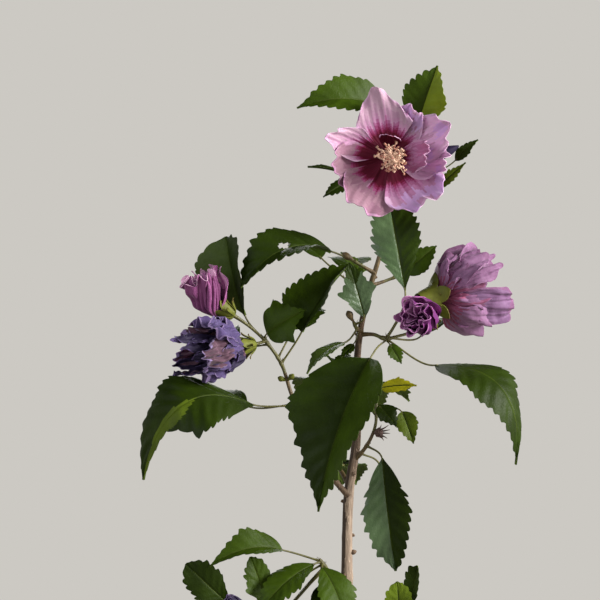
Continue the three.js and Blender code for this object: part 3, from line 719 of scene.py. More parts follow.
# %% Make a leaf
def leaf(skin, spec, jitter):
    """In the grid, t and way run from foot to tip, and s across, from -1 through 0 on the rib to 1."""
    base, run, face = vec(spec["base"]), vec(spec["run"]), vec(spec["face"])
    length = np.linalg.norm(run)
    face = unit(face - run * face.dot(run) / length**2)
    t, phase, teeth = leaf_rows(length)
    rib, along = arch(base, base + run / 2 + 2 * spec["bow"] * face, base + run, t)
    side = unit(np.cross(along, face))
    out = np.cross(side, along)
    twist = math.radians(jitter(spec.get("twist", 16))) * t[:, None]
    side, out = side * np.cos(twist) + out * np.sin(twist), out * np.cos(twist) - side * np.sin(twist)

    lobes = spec.get("lobe", 0.1) * np.exp(-(((t - LOBE_AT) / LOBE_SPREAD) ** 2))
    half = np.maximum(spec["wide"] / 2 * (swell(t, spec.get("widest", 0.36), LEAF_POWER) + lobes), 0.3)
    count = spec.get("columns", 7 if length > 30 else 4)
    left, left_lean = leaf_side(half, phase, teeth, length, count, jitter)
    right, right_lean = leaf_side(half, phase + 0.5, teeth, length, count, jitter)
    left = left * (1 - spec.get("slim", 0) * np.clip((t - SLIM_FROM) / SLIM_OVER, 0, 1)[:, None])
    middle = np.zeros((len(t), 1))
    offset = np.hstack([-left[:, ::-1], middle, right])
    forward = np.hstack([left_lean[:, ::-1], middle, right_lean])
    s, way = offset / half[:, None], t[:, None]

    veins = 5 + length / 20
    between_veins = np.cos(2 * np.pi * (veins * way - 1.6 * np.abs(s)))
    bulge = BULGE * length * between_veins * np.sin(np.pi * np.abs(s).clip(0, 1))
    waves = 2 * np.pi * (1.6 * way + 0.12 * np.sign(s) + jitter())
    rise = spec.get("fold", 0.15) * np.abs(offset) ** 1.06 + bulge
    rise = rise + WAVE * half[:, None] * s**2 * np.sin(waves)
    rise = rise - 0.06 * half[:, None] * np.abs(s) ** 4 - RIB_GROOVE * (offset == 0)
    grid = rib[:, None] + side[:, None] * offset[..., None] + out[:, None] * rise[..., None]
    grid = grid + along[:, None] * forward[..., None]

    ridge = (RIB_RIDGE[0] + RIB_RIDGE[1] * (1 - way)) * (offset == 0)
    thick = np.where(offset == 0, ridge, BLADE_THICK * np.where(np.abs(s) > 0.93, 0.5, 1))
    tone = spec["tone"]
    first, second = (tone, tone) if isinstance(tone, str) else tone
    upper = np.full((len(t) - 1, offset.shape[1] - 1), first, dtype=object)
    upper[:, count + 1 :] = second
    upper[: int(0.8 * len(t)), count : count + 2] = "leaf_rib"
    keep = np.ones(upper.shape, bool)
    centre_t, centre_s = (way[1:] + way[:-1]) / 2, (s[1:, 1:] + s[:-1, :-1]) / 2
    for finish, start, low, high in spec.get("streaks", ()):
        widening = np.clip(5 * (centre_t - start), 0, 1)
        upper[(centre_s > low * widening) & (centre_s < high * widening)] = finish
    for at_t, at_s, long, broad in spec.get("holes", ()):
        keep &= ((centre_t - at_t) / long) ** 2 + ((centre_s - at_s) / broad) ** 2 > 1
    sheet(skin, grid, thick, upper, "leaf_under", keep)


trial = Skin()
leaf(trial, dict(base=(0, 0, 0), run=(60, 0, 0), wide=30, face=(0, 0, 1), bow=5, tone="leaf_mid"), chance(1))
print("faces of a leaf of 60 mm:", len(trial.faces))

# %% [markdown]
# ## Stalks, buds and calyces
#
# A stalk springs from a swollen node on the stem and runs on into the blade's rib. A small bud sits in its
# angle, with a pair of thread-like stipules. A bloom stands in a calyx of five pointed lobes, with a ring
# of narrow bracts under it. Stalks, buds and cups are tubes whose radius changes along the way, and lobes and
# bracts are thin sheets, so no new way of making shapes is needed.

# %% Make a leaf stalk
STALK = 0.8  # radius of a leaf stalk


def leaf_stalk(skin, node, spec):
    foot, upper = vec(spec["base"]), unit(vec(spec["face"]))
    rib = unit(vec(spec["run"]) / 2 + 2 * spec["bow"] * upper)
    reach = np.linalg.norm(foot - node)
    end = foot + rib * min(2, reach / 4) - 0.3 * upper
    path = handled(node, node + 0.35 * (foot - node), foot - 0.35 * reach * rib, end)
    size = 0.75 if np.linalg.norm(spec["run"]) > 30 else 0.55
    flare = lambda t: STALK * size * (1.1 + 0.9 * math.exp(-t * reach / 1.6) - 0.15 * t)
    tube(skin, path, flare, 8, max(6, int(reach / 1.6)), "twig_green")


print("a leaf stalk is", 2 * STALK, "mm thick")


# %% Make buds
def bud(skin, node, tip, wide, finish, folds=5):
    """A pointed bud on a short neck, with soft folds."""
    tip = vec(tip)
    path = Path(np.array([node, (node + tip) / 2, tip]))

    def body(t):
        return 0.5 + (wide / 2) * math.sin(math.pi * min(1, t) ** 1.8)

    def fold(middle, turn):
        depth = np.sin(np.pi * np.linspace(0, 1, len(middle)) ** 1.8)[:, None]
        return -0.12 * wide / 2 * depth * (1 + np.cos(folds * turn + 3 * depth))

    tube(skin, path, body, 15, 12, finish, fold)


def spikes(skin, node, tip, wide, jitter, count=9):
    """Dry pointed sepals that stand round a spent bud."""
    way = unit(vec(tip) - node)
    side = unit(np.cross(way, (0.3, 1, 0.2)))
    over = np.cross(way, side)
    for i in range(count):
        turn = 2 * math.pi * i / count + jitter(0.5)
        out = side * math.cos(turn) + over * math.sin(turn)
        foot, bend = (node + vec(tip)) / 2 + 0.3 * wide * out, vec(tip) + 0.5 * wide * out
        end = bend + out * wide * (0.3 + jitter(0.4)) + way * (2 + jitter(2.5))
        tube(skin, handled(foot, bend, bend, end), taper(0.9, 0.15), 5, 5, "husk")


def axil(skin, node, way, jitter):
    """The small bud and two stipules at a leaf's foot."""
    side = unit(np.cross(way, (0, 0, 1)) + 1e-6)
    bud(skin, node, node + 1.7 * unit(way + (0, 0, 1.6)), 1.1, "twig_green", 3)
    for hand in (-1, 1):
        tip = node + hand * side * (2.2 + jitter()) + way * 1.6 + vec((0, 0, 2.4 + jitter()))
        tube(skin, handled(node, node + hand * side, tip, tip), taper(0.32, 0.1), 4, 4, "twig_brown")


# %% Seat things in a bloom's own frame
def seat(points, bloom, lift=0.3):
    """From a bloom's frame, with Z along its axis, to its place on the plant."""
    way = unit(vec(bloom["axis"]))
    right = unit(np.cross((0, 0, 1), way))
    over = np.cross(way, right)
    return vec(bloom["foot"]) + lift * way + points @ np.array([right, over, way])


def turned(points, degrees):
    """Turns points round the bloom's axis."""
    a = math.radians(degrees)
    return points @ np.array([[math.cos(a), math.sin(a), 0], [-math.sin(a), math.cos(a), 0], [0, 0, 1]])


# %% Make a calyx
CALYX = {"length": 11, "foot": 2.2, "mouth": 4.7}  # the cup's length, and its radius at either end
LOBE_SPREADS = (37, 37, 37, 35, 28, 19, 9, 0.8)  # half angles of a calyx lobe, from its foot to its tip
LOBE_FOOT = [(3.4, -9.5), (4.4, -7), (5.3, -4)]  # (radius, height) of each row, from the cup's mouth
CLOSED_LOBE = np.array([*LOBE_FOOT, (6.0, -1), (6.6, 1.5), (7.3, 3.5), (8.1, 5.2), (8.9, 6.4)])
OPEN_LOBE = np.array([*LOBE_FOOT, (6.6, -2), (8.6, -1.6), (10.6, -1.8), (12.4, -2.2), (13.8, -3)])
BRACT_SPREADS = (16, 12, 9.5, 8, 6, 0.8)
BRACT = np.array([(2.6, -10.4), (4.6, -9), (6.2, -6.8), (7.6, -4.6), (9.2, -3.0), (11, -2.4)])


def sepal(skin, bloom, turn, profile, spread, cols=7):
    """A pointed lobe. profile is rows of (radius, height), and spread its half angle in degrees by row."""
    s = np.linspace(-1, 1, cols)
    rows = []
    for (radius, height), half in zip(profile, spread):
        a = np.radians(half) * s
        rows.append(np.stack([radius * np.cos(a), radius * np.sin(a), height + 0 * a], -1))
    grid = turned(np.array(rows), turn) * bloom["size"]
    finish = np.full((len(rows) - 1, cols - 1), "calyx", dtype=object)
    finish[-2:] = "calyx_tip"
    sheet(skin, seat(grid[:, ::-1], bloom, 0), 0.5, finish, "calyx")


def calyx(skin, node, bloom, jitter):
    """The flower stalk, the cup with its five lobes, and a ring of narrow bracts."""
    size, mouth, way = bloom["size"], vec(bloom["foot"]), unit(vec(bloom["axis"]))
    start = mouth - way * CALYX["length"] * size
    back = start - 0.5 * np.linalg.norm(start - node) * way
    path = handled(node, node + 0.3 * (start - node), back, start + way)
    flare = lambda t: 0.95 + 0.8 * math.exp(-t * path.length / 2) + 0.5 * t**4
    tube(skin, path, flare, 8, max(8, int(path.length / 1.6)), "twig_green")
    low = -CALYX["length"]
    cup = Path(np.array([seat(vec((0, 0, z * size)), bloom, 0) for z in (low, low / 2, -1.2)]))
    wall = lambda t: size * (CALYX["foot"] + (CALYX["mouth"] - CALYX["foot"]) * math.sin(math.pi / 2 * t))
    tube(skin, cup, wall, 15, 8, "calyx")
    for i in range(5):
        opened = bloom["open"] + jitter(0.16)
        lobe = (CLOSED_LOBE * (1 - opened) + OPEN_LOBE * opened) * bloom.get("sepals", 1)
        sepal(skin, bloom, 72 * i + 20 + jitter(8), lobe, LOBE_SPREADS)
    for i in range(7):
        bract = BRACT + np.linspace(0, 1, len(BRACT))[:, None] * (jitter(2), jitter(2.4))
        sepal(skin, bloom, 360 * i / 7 + jitter(14), bract, BRACT_SPREADS, 4)


print("an open lobe reaches", OPEN_LOBE[:, 0].max(), "mm off the axis, a closed one", CLOSED_LOBE[:, 0].max())

# %% [markdown]
# ## Petals
#
# A petal is a fan: narrow at its foot, broad and rounded at its end. It could be sculpted, but a petal that a
# few numbers make can be changed alone while the others stay. Its rib bows outwards and its sides lift
# or cup in. On top of that come fine creases that fan out from the foot, a frilled outer margin, and, on a
# faded bloom, lengthwise pleats and crumpling. Each cell takes its finish from where it is, from the crimson
# throat through magenta and rose to the mauve body, with ragged borders that run out along the creases.
#
# A look names the finish of each part of a petal. Its bands start at the throat, and each comes with the
# place where it ends, as a share of the eye. Some looks are brighter or darker copies of the same mauve:
# painted light and painted shade.

# %% Size the petals' details
PETAL_THICK = 0.35
PETAL_ROWS, PETAL_COLUMNS = 56, 37  # points of a petal's grid, from foot to tip and across
FOOT_OUT, FOOT_UP = 2.2, 2  # where every petal starts, off its bloom's axis and along it
FAN_TO = 0.62  # share of its length over which a petal widens
TILT = 0.12  # how far one side lies above the other, so that petals overlap
EYE_BANDS = (("throat", 1), ("crimson", 1.1), ("wine", 1.2))
FRESH = {
    "bands": (*EYE_BANDS, ("magenta", 1.35), ("rose", 1.6), ("orchid", 2)),
    "body": "mauve",
    "patch": "mauve_deep",
    "margin": "pale",
    "back": "petal_back",
}
# A brighter copy of the fresh look, for the top and left petals: painted light.
PAINTED_LIGHT_LOOK = {
    **FRESH,
    "bands": (*EYE_BANDS, ("magenta", 1.35), ("rose", 1.5), ("mauve", 1.75), ("mauve_soft", 2.1)),
    "body": "mauve_light",
    "patch": "mauve_soft",
}
# A duller copy of the fresh look, for the lower left petals: painted shade.
PAINTED_SHADE_LOOK = {
    **FRESH,
    "bands": (*EYE_BANDS, ("magenta", 1.3), ("mauve_dim", 1.6)),
    "body": "mauve_dull",
    "patch": "mauve_dim",
    "margin": "mauve",
}
# A pale copy of the brighter look, for the petals on the right: painted light.
PAINTED_LIGHT_PALE_LOOK = {**PAINTED_LIGHT_LOOK, "body": "pale", "patch": "lilac"}
LILAC = {**FRESH, "body": "lilac", "patch": "mauve"}
DUSKY = {**FRESH, "body": "dusk", "patch": "dusk_deep", "margin": "dusk_deep", "back": "dusk"}
# A darker copy of the dusky look, for one petal of the right bloom: painted shade.
SHADED = {**DUSKY, "body": "dusk_dark", "patch": "dusk_deep", "back": "dusk_dark"}
ROSY = {**DUSKY, "back": "rosy", "body": "dusk_deep"}
INNER = {**FRESH, "body": "rose", "patch": "orchid", "margin": "mauve"}
ARC = {**FRESH, "bands": EYE_BANDS[:2], "body": "crimson", "patch": "crimson", "rim": 0.1}
print("cells on each side of a petal:", (PETAL_ROWS - 1) * (PETAL_COLUMNS - 1))


def ripple(points, scale):
    """Smooth noise at each point, from about -1 to 1."""
    flat = points.reshape(-1, 3) / scale
    return np.array([noise.noise(Vector(p)) for p in flat]).reshape(points.shape[:-1])


# %% Shape a petal
def petal_grid(spec, phases, frill, crumple):
    """Points of a petal in its bloom's frame, before it is turned to its place."""
    reach, rise, wide, bow = spec["reach"], spec["rise"], spec["wide"], spec["bow"]
    a, b, c = phases
    t, s = np.linspace(0, 1, PETAL_ROWS), np.linspace(-1, 1, PETAL_COLUMNS)[None, :]
    way = t[:, None]
    base, tip = vec((FOOT_OUT, 0, FOOT_UP)), vec((reach, 0, rise))
    face = unit(vec((FOOT_UP - rise, 0, reach - FOOT_OUT)))
    rib, along = arch(base, (base + tip) / 2 - 2 * bow * face, tip, t)
    side = unit(np.cross(along, face))
    out = np.cross(side, along)
    length = np.linalg.norm(tip - base)

    fan = np.sin(np.pi / 2 * np.minimum(way / FAN_TO, 1)) ** 0.85
    half = np.maximum(wide / 2 * fan * (1 - 0.1 * np.maximum(0, way - 0.8) / 0.2), 1.3)
    rounded = (1 - np.sqrt(1 - 0.97 * np.abs(s) ** spec.get("blunt", 2.4))) * spec.get("round", 0.3)
    ahead = -(rounded + spec.get("skew", 0) * s) * length * way**2.5
    ahead = ahead + frill * 0.02 * length * way**6 * (np.sin(6.5 * s + b) + 0.8 * np.sin(14 * s + c))

    lift = spec.get("cup", 0.12) * s**2 * half + TILT * s * half * way
    edge = np.maximum(way**4, np.abs(s) ** 4 * way)
    lift = lift + frill * edge * (1.3 * np.sin(7 * s + 3 * way + a) + 0.8 * np.sin(15 * s + 5 * way + b))
    lift = lift + 0.25 * np.sin(32 * s + c) * np.sin(np.pi * way) ** 0.7
    lift = lift + spec.get("pleat", 0) * np.sin(spec.get("pleats", 11) * s + a) * np.minimum(1, 2.2 * way)
    roll = spec.get("roll", 0)
    rolled_over = np.maximum(0, s * np.sign(roll) - 0.45) if roll else 0 * s
    lift = lift + abs(roll) * half * rolled_over**1.5 * way
    across = s * half * (1 - 0.5 * abs(roll) * rolled_over)

    grid = rib[:, None] + side[:, None] * across[..., None] + out[:, None] * lift[..., None]
    grid = grid + along[:, None] * ahead[..., None]
    if crumple:
        seed = vec((spec["turn"], 7 * a, 3 * c))
        for k, scale in enumerate((9, 4)):
            fade = crumple * scale / 4 * np.clip(way * 3, 0, 1)
            push, pull = ripple(grid + seed + 40 * k, scale), ripple(grid - seed - 60 * k, scale)
            grid = grid + out[:, None] * (push * fade)[..., None]
            grid = grid + side[:, None] * (0.5 * pull * fade)[..., None]
    return grid, length


# %% Colour a petal and put it in place
def petal(skin, bloom, spec, jitter, look=FRESH, eye=13.0, crumple=0.0, frill=1.0):
    """A petal's own row may ask for another look or eye than its bloom's."""
    look, eye = spec.get("look", look), spec.get("eye", eye)
    a, b, c = phases = (jitter(6.28), jitter(6.28), jitter(6.28))
    grid, length = petal_grid(spec, phases, frill, crumple)
    t, s = np.linspace(0, 1, PETAL_ROWS), np.linspace(-1, 1, PETAL_COLUMNS)
    mid_t, mid_s = (t[1:] + t[:-1])[:, None] / 2, (s[1:] + s[:-1])[None, :] / 2
    rays = 0.5 + 0.3 * np.sin(17 * mid_s + a) + 0.2 * np.sin(43 * mid_s + b)
    streaks = 0.5 + 0.5 * np.sin(29 * mid_s + c) * np.sin(11 * mid_s + a)
    patch = np.sin(5 * mid_s + 3 * mid_t + c) * np.sin(6 * mid_t + a) + 0.5 * streaks
    upper = np.full((PETAL_ROWS - 1, PETAL_COLUMNS - 1), look["body"], dtype=object)
    upper[patch > 0.55] = look["patch"]
    rim = look.get("rim", 0.03)
    beside_edge = (np.abs(mid_s) + 0.1 * patch > 1 - rim) & (mid_t > 0.35)
    near_edge = beside_edge | (mid_t + 0.04 * patch > 1 - 0.8 * rim)
    upper[near_edge] = look["margin"]
    throat = mid_t * length / (eye * (1 - 0.45 * mid_s**2))
    for finish, share in reversed(look["bands"]):
        upper[throat < 0.82 + (share - 0.82) * (0.6 + 0.8 * rays)] = finish
    under = np.full(upper.shape, look["back"], dtype=object)
    under[patch > 0.75] = look["body"]
    under[near_edge] = look["margin"]
    under[mid_t * length < eye * (0.5 + 0.9 * rays)] = look.get("flush", "flush")
    sheet(skin, seat(turned(grid, spec["turn"]), bloom), PETAL_THICK, upper, under)


# %% [markdown]
# ## Stamens
#
# The stamens of a hibiscus are joined in one column. Thread-like filaments spread from it like a brush, each
# with two small cream lumps for its anther, and five styles stand out at its end. One such lump needs only
# eight faces, so it can be set a few hundred times, and later again as the crumbs on the compost.

# %% Make one anther and the column
GRAIN_CORNERS = np.array([[1, 0, 0], [0, 1, 0], [-1, 0, 0], [0, -1, 0], [0, 0, 1], [0, 0, -1]], float)
GRAIN_FACES = np.array(
    [[0, 1, 4], [1, 2, 4], [2, 3, 4], [3, 0, 4], [1, 0, 5], [2, 1, 5], [3, 2, 5], [0, 3, 5]]
)


def grain(skin, centre, size, finish):
    """A small lump of eight faces."""
    skin.add(centre + GRAIN_CORNERS * size, GRAIN_FACES, finish)


def stamens(skin, bloom, length, count, jitter, start=0.35, reach=7.0, droop=(0, 0)):
    """start is the bare share of the column, and droop how far its end leans, in the bloom's frame."""
    lean = lambda share: vec((*droop, 0)) * share**2

    def placed(out, share, turn, ahead=0.0):
        return seat(turned(vec((out, 0, 0)), turn) + lean(share) + (0, 0, length * share + ahead), bloom)

    tube(skin, Path(np.array([placed(0, k / 8, 0) for k in range(9)])), taper(2.0, 1.1), 12, 16, "anther")
    for i in range(count):
        share = start + (1 - start) * (i + 0.5) / count
        turn = GOLDEN * i + jitter(30)
        out = 2.2 + reach * (0.55 + jitter(0.9)) * (1 - 0.25 * share)
        ahead = 2.5 + jitter(4)
        foot, bend = placed(0.9, share, turn), placed(0.6 * out, share, turn, 0.3 * ahead)
        end = placed(out, share, turn, ahead)
        tube(skin, handled(foot, bend, bend, end, 6), taper(0.26, 0.18), 4, 3, "anther")
        for hand in (-0.5, 0.5):
            offset = vec((hand * math.cos(i), hand * math.sin(i), 0.6 * hand))
            size = vec((0.85, 0.85, 0.7)) * (1 + jitter(0.4))
            grain(skin, end + offset, size, "anther" if i % 3 else "pollen")
    for i in range(5):
        turn = 72 * i + 10
        top, bend = placed(0.2, 1, turn, -0.5), placed(0.8, 1, turn, 3)
        tip = placed(3.4 + jitter(1.6), 1, turn, 5 + jitter(1.6))
        tube(skin, handled(top, bend, bend, tip, 8), taper(0.42, 0.32), 5, 4, "anther")
        grain(skin, tip, vec((0.95, 0.95, 0.95)), "anther")


# %% [markdown]
# ## Rolled and withered blooms
#
# As a bloom closes, its petals wind round one another into a roll with a ruffled end. A spiral extruded along
# the axis would be the same at every height. Here each petal is a sheet that turns inwards as it goes round,
# and widens and ruffles on the way up. The deepest folds take the darkest finish, as painted shade, and the
# ruffles near the mouth the palest, partly a pale margin and partly a painted highlight.


# %% Roll petals into a closed bloom
def rolled(
    skin, bloom, sizes, look, jitter, petals=5, wind=250, ruffle=2.2, shrink=0.62, pleat=0.35, crumple=1.0
):
    """sizes is the roll's length, its radius half way and its radius at the mouth.

    Each petal winds round by wind degrees, while its radius shrinks by a share.
    """
    length, radius, mouth = sizes
    rows, cols = 30, 56
    t = np.linspace(0, 1, rows)[:, None]
    u = np.linspace(0, 1, cols)[None, :]
    neck = 2.6 * bloom["size"]
    body = neck + (radius - neck) * np.sin(np.pi / 2 * np.minimum(1, 1.9 * t))
    body = body + (mouth - radius) * np.maximum(0, 2 * t - 1) ** 1.6
    for i in range(petals):
        a, b = jitter(6.28), jitter(6.28)
        r = body * (1 - shrink * u) * (1 - 0.03 * i)
        turn = np.radians(360 / petals * i + wind * u + 60 * t)
        frill = t**4 * (np.sin(17 * u + a) + 0.6 * np.sin(31 * u + b))
        wander = 1.5 * np.sin(5 * t + b)
        r = r + ruffle * 0.45 * frill + pleat * np.sin(40 * u + 4 * t + a + wander) * np.minimum(1, 3 * t)
        height = length * t * (1 - 0.16 * np.abs(2 * u - 0.8)) + ruffle * 0.5 * t**4 * np.sin(23 * u + b)
        grid = np.stack([r * np.cos(turn), r * np.sin(turn), height + 0 * turn], -1)
        push = 0.8 * ripple(grid + vec((9 * i, a, b)), 4) + crumple * ripple(grid + vec((a, 9 * i, b)), 11)
        grid = grid + push[..., None] * t[..., None] * unit(grid * (1, 1, 0))
        mid_t, mid_u = (t[1:] + t[:-1]) / 2, (u[:, 1:] + u[:, :-1]) / 2
        wander = 1.5 * np.sin(5 * mid_t + b)
        # The fold finish on these stripes is painted shade, and the margin near the mouth partly painted
        # highlight.
        shade = np.sin(17 * mid_u + a + wander) + 0.6 * np.sin(31 * mid_u - wander)
        shade = shade + 0.5 * np.sin(9 * mid_t + a)
        upper = np.full((rows - 1, cols - 1), look["body"], dtype=object)
        upper[shade < -0.55] = look["fold"]
        upper[(shade + 3 * mid_t > 3.3) | (mid_t + 0 * mid_u > 0.94)] = look["margin"]
        sheet(skin, seat(grid[:, ::-1], bloom), 0.4, upper[:, ::-1], look["inside"])


# %% [markdown]
# ## The plant's numbers
#
# These are the sizes of the blooms, their petals, the limbs, and each shoot with its stem, leaves and buds.
# Most are the plain solids' own, written out again. Some leaves and petals differ from their plain solids in
# place, size or face, mostly by a few millimetres.
#
# A petal's row says its turn round the bloom, how far out its tip is and how far up the axis, its width and
# its bow. A leaf's row says how far up the stem its stalk springs, where its blade starts, the way to its
# tip, its width, the way its upper side faces, and the bow of its rib.

# %% Place the blooms
TOP_BLOOM = {"foot": (24, -14, 582), "axis": (-0.05, -0.99, 0.1), "size": 1, "open": 1}
RIGHT_BLOOM = {"foot": (55, -4, 493), "axis": (0.82, 0.42, 0.14), "size": 0.95, "open": 0.55, "sepals": 1.5}
RIGHT_CLOSED = {"foot": (50, -14, 479), "axis": (-0.5, -0.86, 0.16), "size": 0.7, "open": 0.3}
PINK_FADED = {"foot": (-81, -27, 487), "axis": (-0.8, -0.15, 0.5), "size": 0.85, "open": 0.1}
BLUE_FADED = {"foot": (-68, -28, 463), "axis": (-0.85, -0.5, -0.15), "size": 0.85, "open": 0.1}
LOW_FADED = {"foot": (-68, -36, 299), "axis": (-0.6, -0.5, 0.6), "size": 0.5, "open": 0}

TOP_PETALS = [
    dict(
        turn=100, reach=43, rise=17, wide=37, bow=2, blunt=1.2, round=0.75,
        skew=0.05, roll=-0.3, look=PAINTED_LIGHT_LOOK, eye=14,
    ),
    dict(turn=24, reach=41, rise=19, wide=30, bow=5, blunt=1.5, round=0.4, look=PAINTED_LIGHT_PALE_LOOK, eye=12, frill=1.3),
    dict(turn=-52, reach=40, rise=20, wide=40, bow=8, blunt=3, look=LILAC, eye=13, frill=1.4),
    dict(turn=-120, reach=39, rise=20, wide=40, bow=8, roll=0.4, look=PAINTED_SHADE_LOOK, eye=15),
    dict(
        turn=165, reach=39, rise=22, wide=24, bow=8, blunt=1.2, round=0.5,
        cup=0.5, roll=-0.8, look=PAINTED_LIGHT_LOOK, eye=15,
    ),
    dict(turn=196, reach=35, rise=17, wide=32, bow=6, blunt=1.8, look=PAINTED_SHADE_LOOK, eye=16),
    dict(turn=62, reach=33, rise=13, wide=24, bow=5, look=LILAC, eye=12),
    dict(turn=-8, reach=37, rise=17, wide=25, bow=6, look=PAINTED_LIGHT_PALE_LOOK, blunt=1.4, round=0.4, eye=10, frill=1.3),
    dict(turn=-4, reach=24, rise=25, wide=21, bow=5, look=INNER, eye=9),
    # the small dark petal with a pale rim that stands up behind the column
    dict(turn=84, reach=10, rise=21, wide=14, bow=4, look=ARC, eye=20, frill=0.2, blunt=2, round=0.4),
]
RIGHT_PETALS = [
    dict(turn=75, reach=25, rise=33, wide=40, bow=8, blunt=3, round=0.25),
    dict(turn=15, reach=30, rise=37, wide=34, bow=8),
    dict(turn=-48, reach=26, rise=36, wide=34, bow=8, blunt=4, round=0.2),
    dict(turn=-115, reach=24, rise=29, wide=32, bow=8, roll=0.4, blunt=4, round=0.2),
    dict(turn=205, reach=24, rise=42, wide=25, bow=7, blunt=4, round=0.14, look=SHADED, frill=1.2),
    dict(turn=134, reach=24, rise=36, wide=25, bow=7, blunt=4, round=0.2),
    dict(turn=118, reach=28, rise=29, wide=36, bow=8, blunt=4, round=0.2),
    dict(turn=55, reach=22, rise=42, wide=24, bow=5, look=INNER),
    dict(turn=-15, reach=20, rise=44, wide=22, bow=5, look=INNER),
    dict(turn=-80, reach=20, rise=41, wide=22, bow=5, look=INNER),
    dict(turn=168, reach=18, rise=26, wide=24, bow=6, look=ROSY, blunt=4, round=0.2),
    dict(turn=212, reach=17, rise=22, wide=20, bow=5, look=ROSY, blunt=4, round=0.2),
    dict(turn=116, reach=30, rise=9, wide=12, bow=4, blunt=1.2, round=0.5),
    dict(turn=134, reach=26, rise=15, wide=14, bow=4, blunt=1.3, round=0.5),
    dict(turn=-140, reach=20, rise=20, wide=20, bow=4, blunt=4, round=0.2),
]


def faded_petals(count, reach, rise, wide, first=0, **more):
    """Each stands a golden angle on from the last, and they differ in size."""
    return [
        dict(
            turn=first + GOLDEN * i,
            reach=reach * (1 - 0.15 * (i % 3)),
            rise=rise * (1 - 0.1 * (i % 4)),
            wide=wide,
            **{"bow": 4, "cup": 0.4, **more},
        )
        for i in range(count)
    ]


print("the top bloom's tips are up to", max(spec["reach"] for spec in TOP_PETALS), "mm from its axis")

# %% Place the limbs
SOIL_TOP = 150
TRUNK = {"foot": 5.2, "tip": 1.3, "flare": 3.5, "flare_height": 14, "tip_height": 527}
TRUNK_ROUTE = [
    (-6, 3, SOIL_TOP - 2),
    (-2, 1, 245),
    (-1, 0, 365),
    (4, 0, 402),
    (5, 0, 460),
    (10, 0, 489),
    (21, 0, TRUNK["tip_height"]),
]
BOUGH_ROUTE = [(-1, -1, 367), (-9, -3, 376), (-21, -7, 397), (-33, -11, 421)]
print("the trunk's tip is", TRUNK["tip_height"] - SOIL_TOP, "mm above the compost's level")


# %% Place the upper shoots
def blade(at, base, run, wide, face, bow, tone="leaf_mid", **more):
    return dict(at=at, base=base, run=run, wide=wide, face=face, bow=bow, tone=tone, **more)


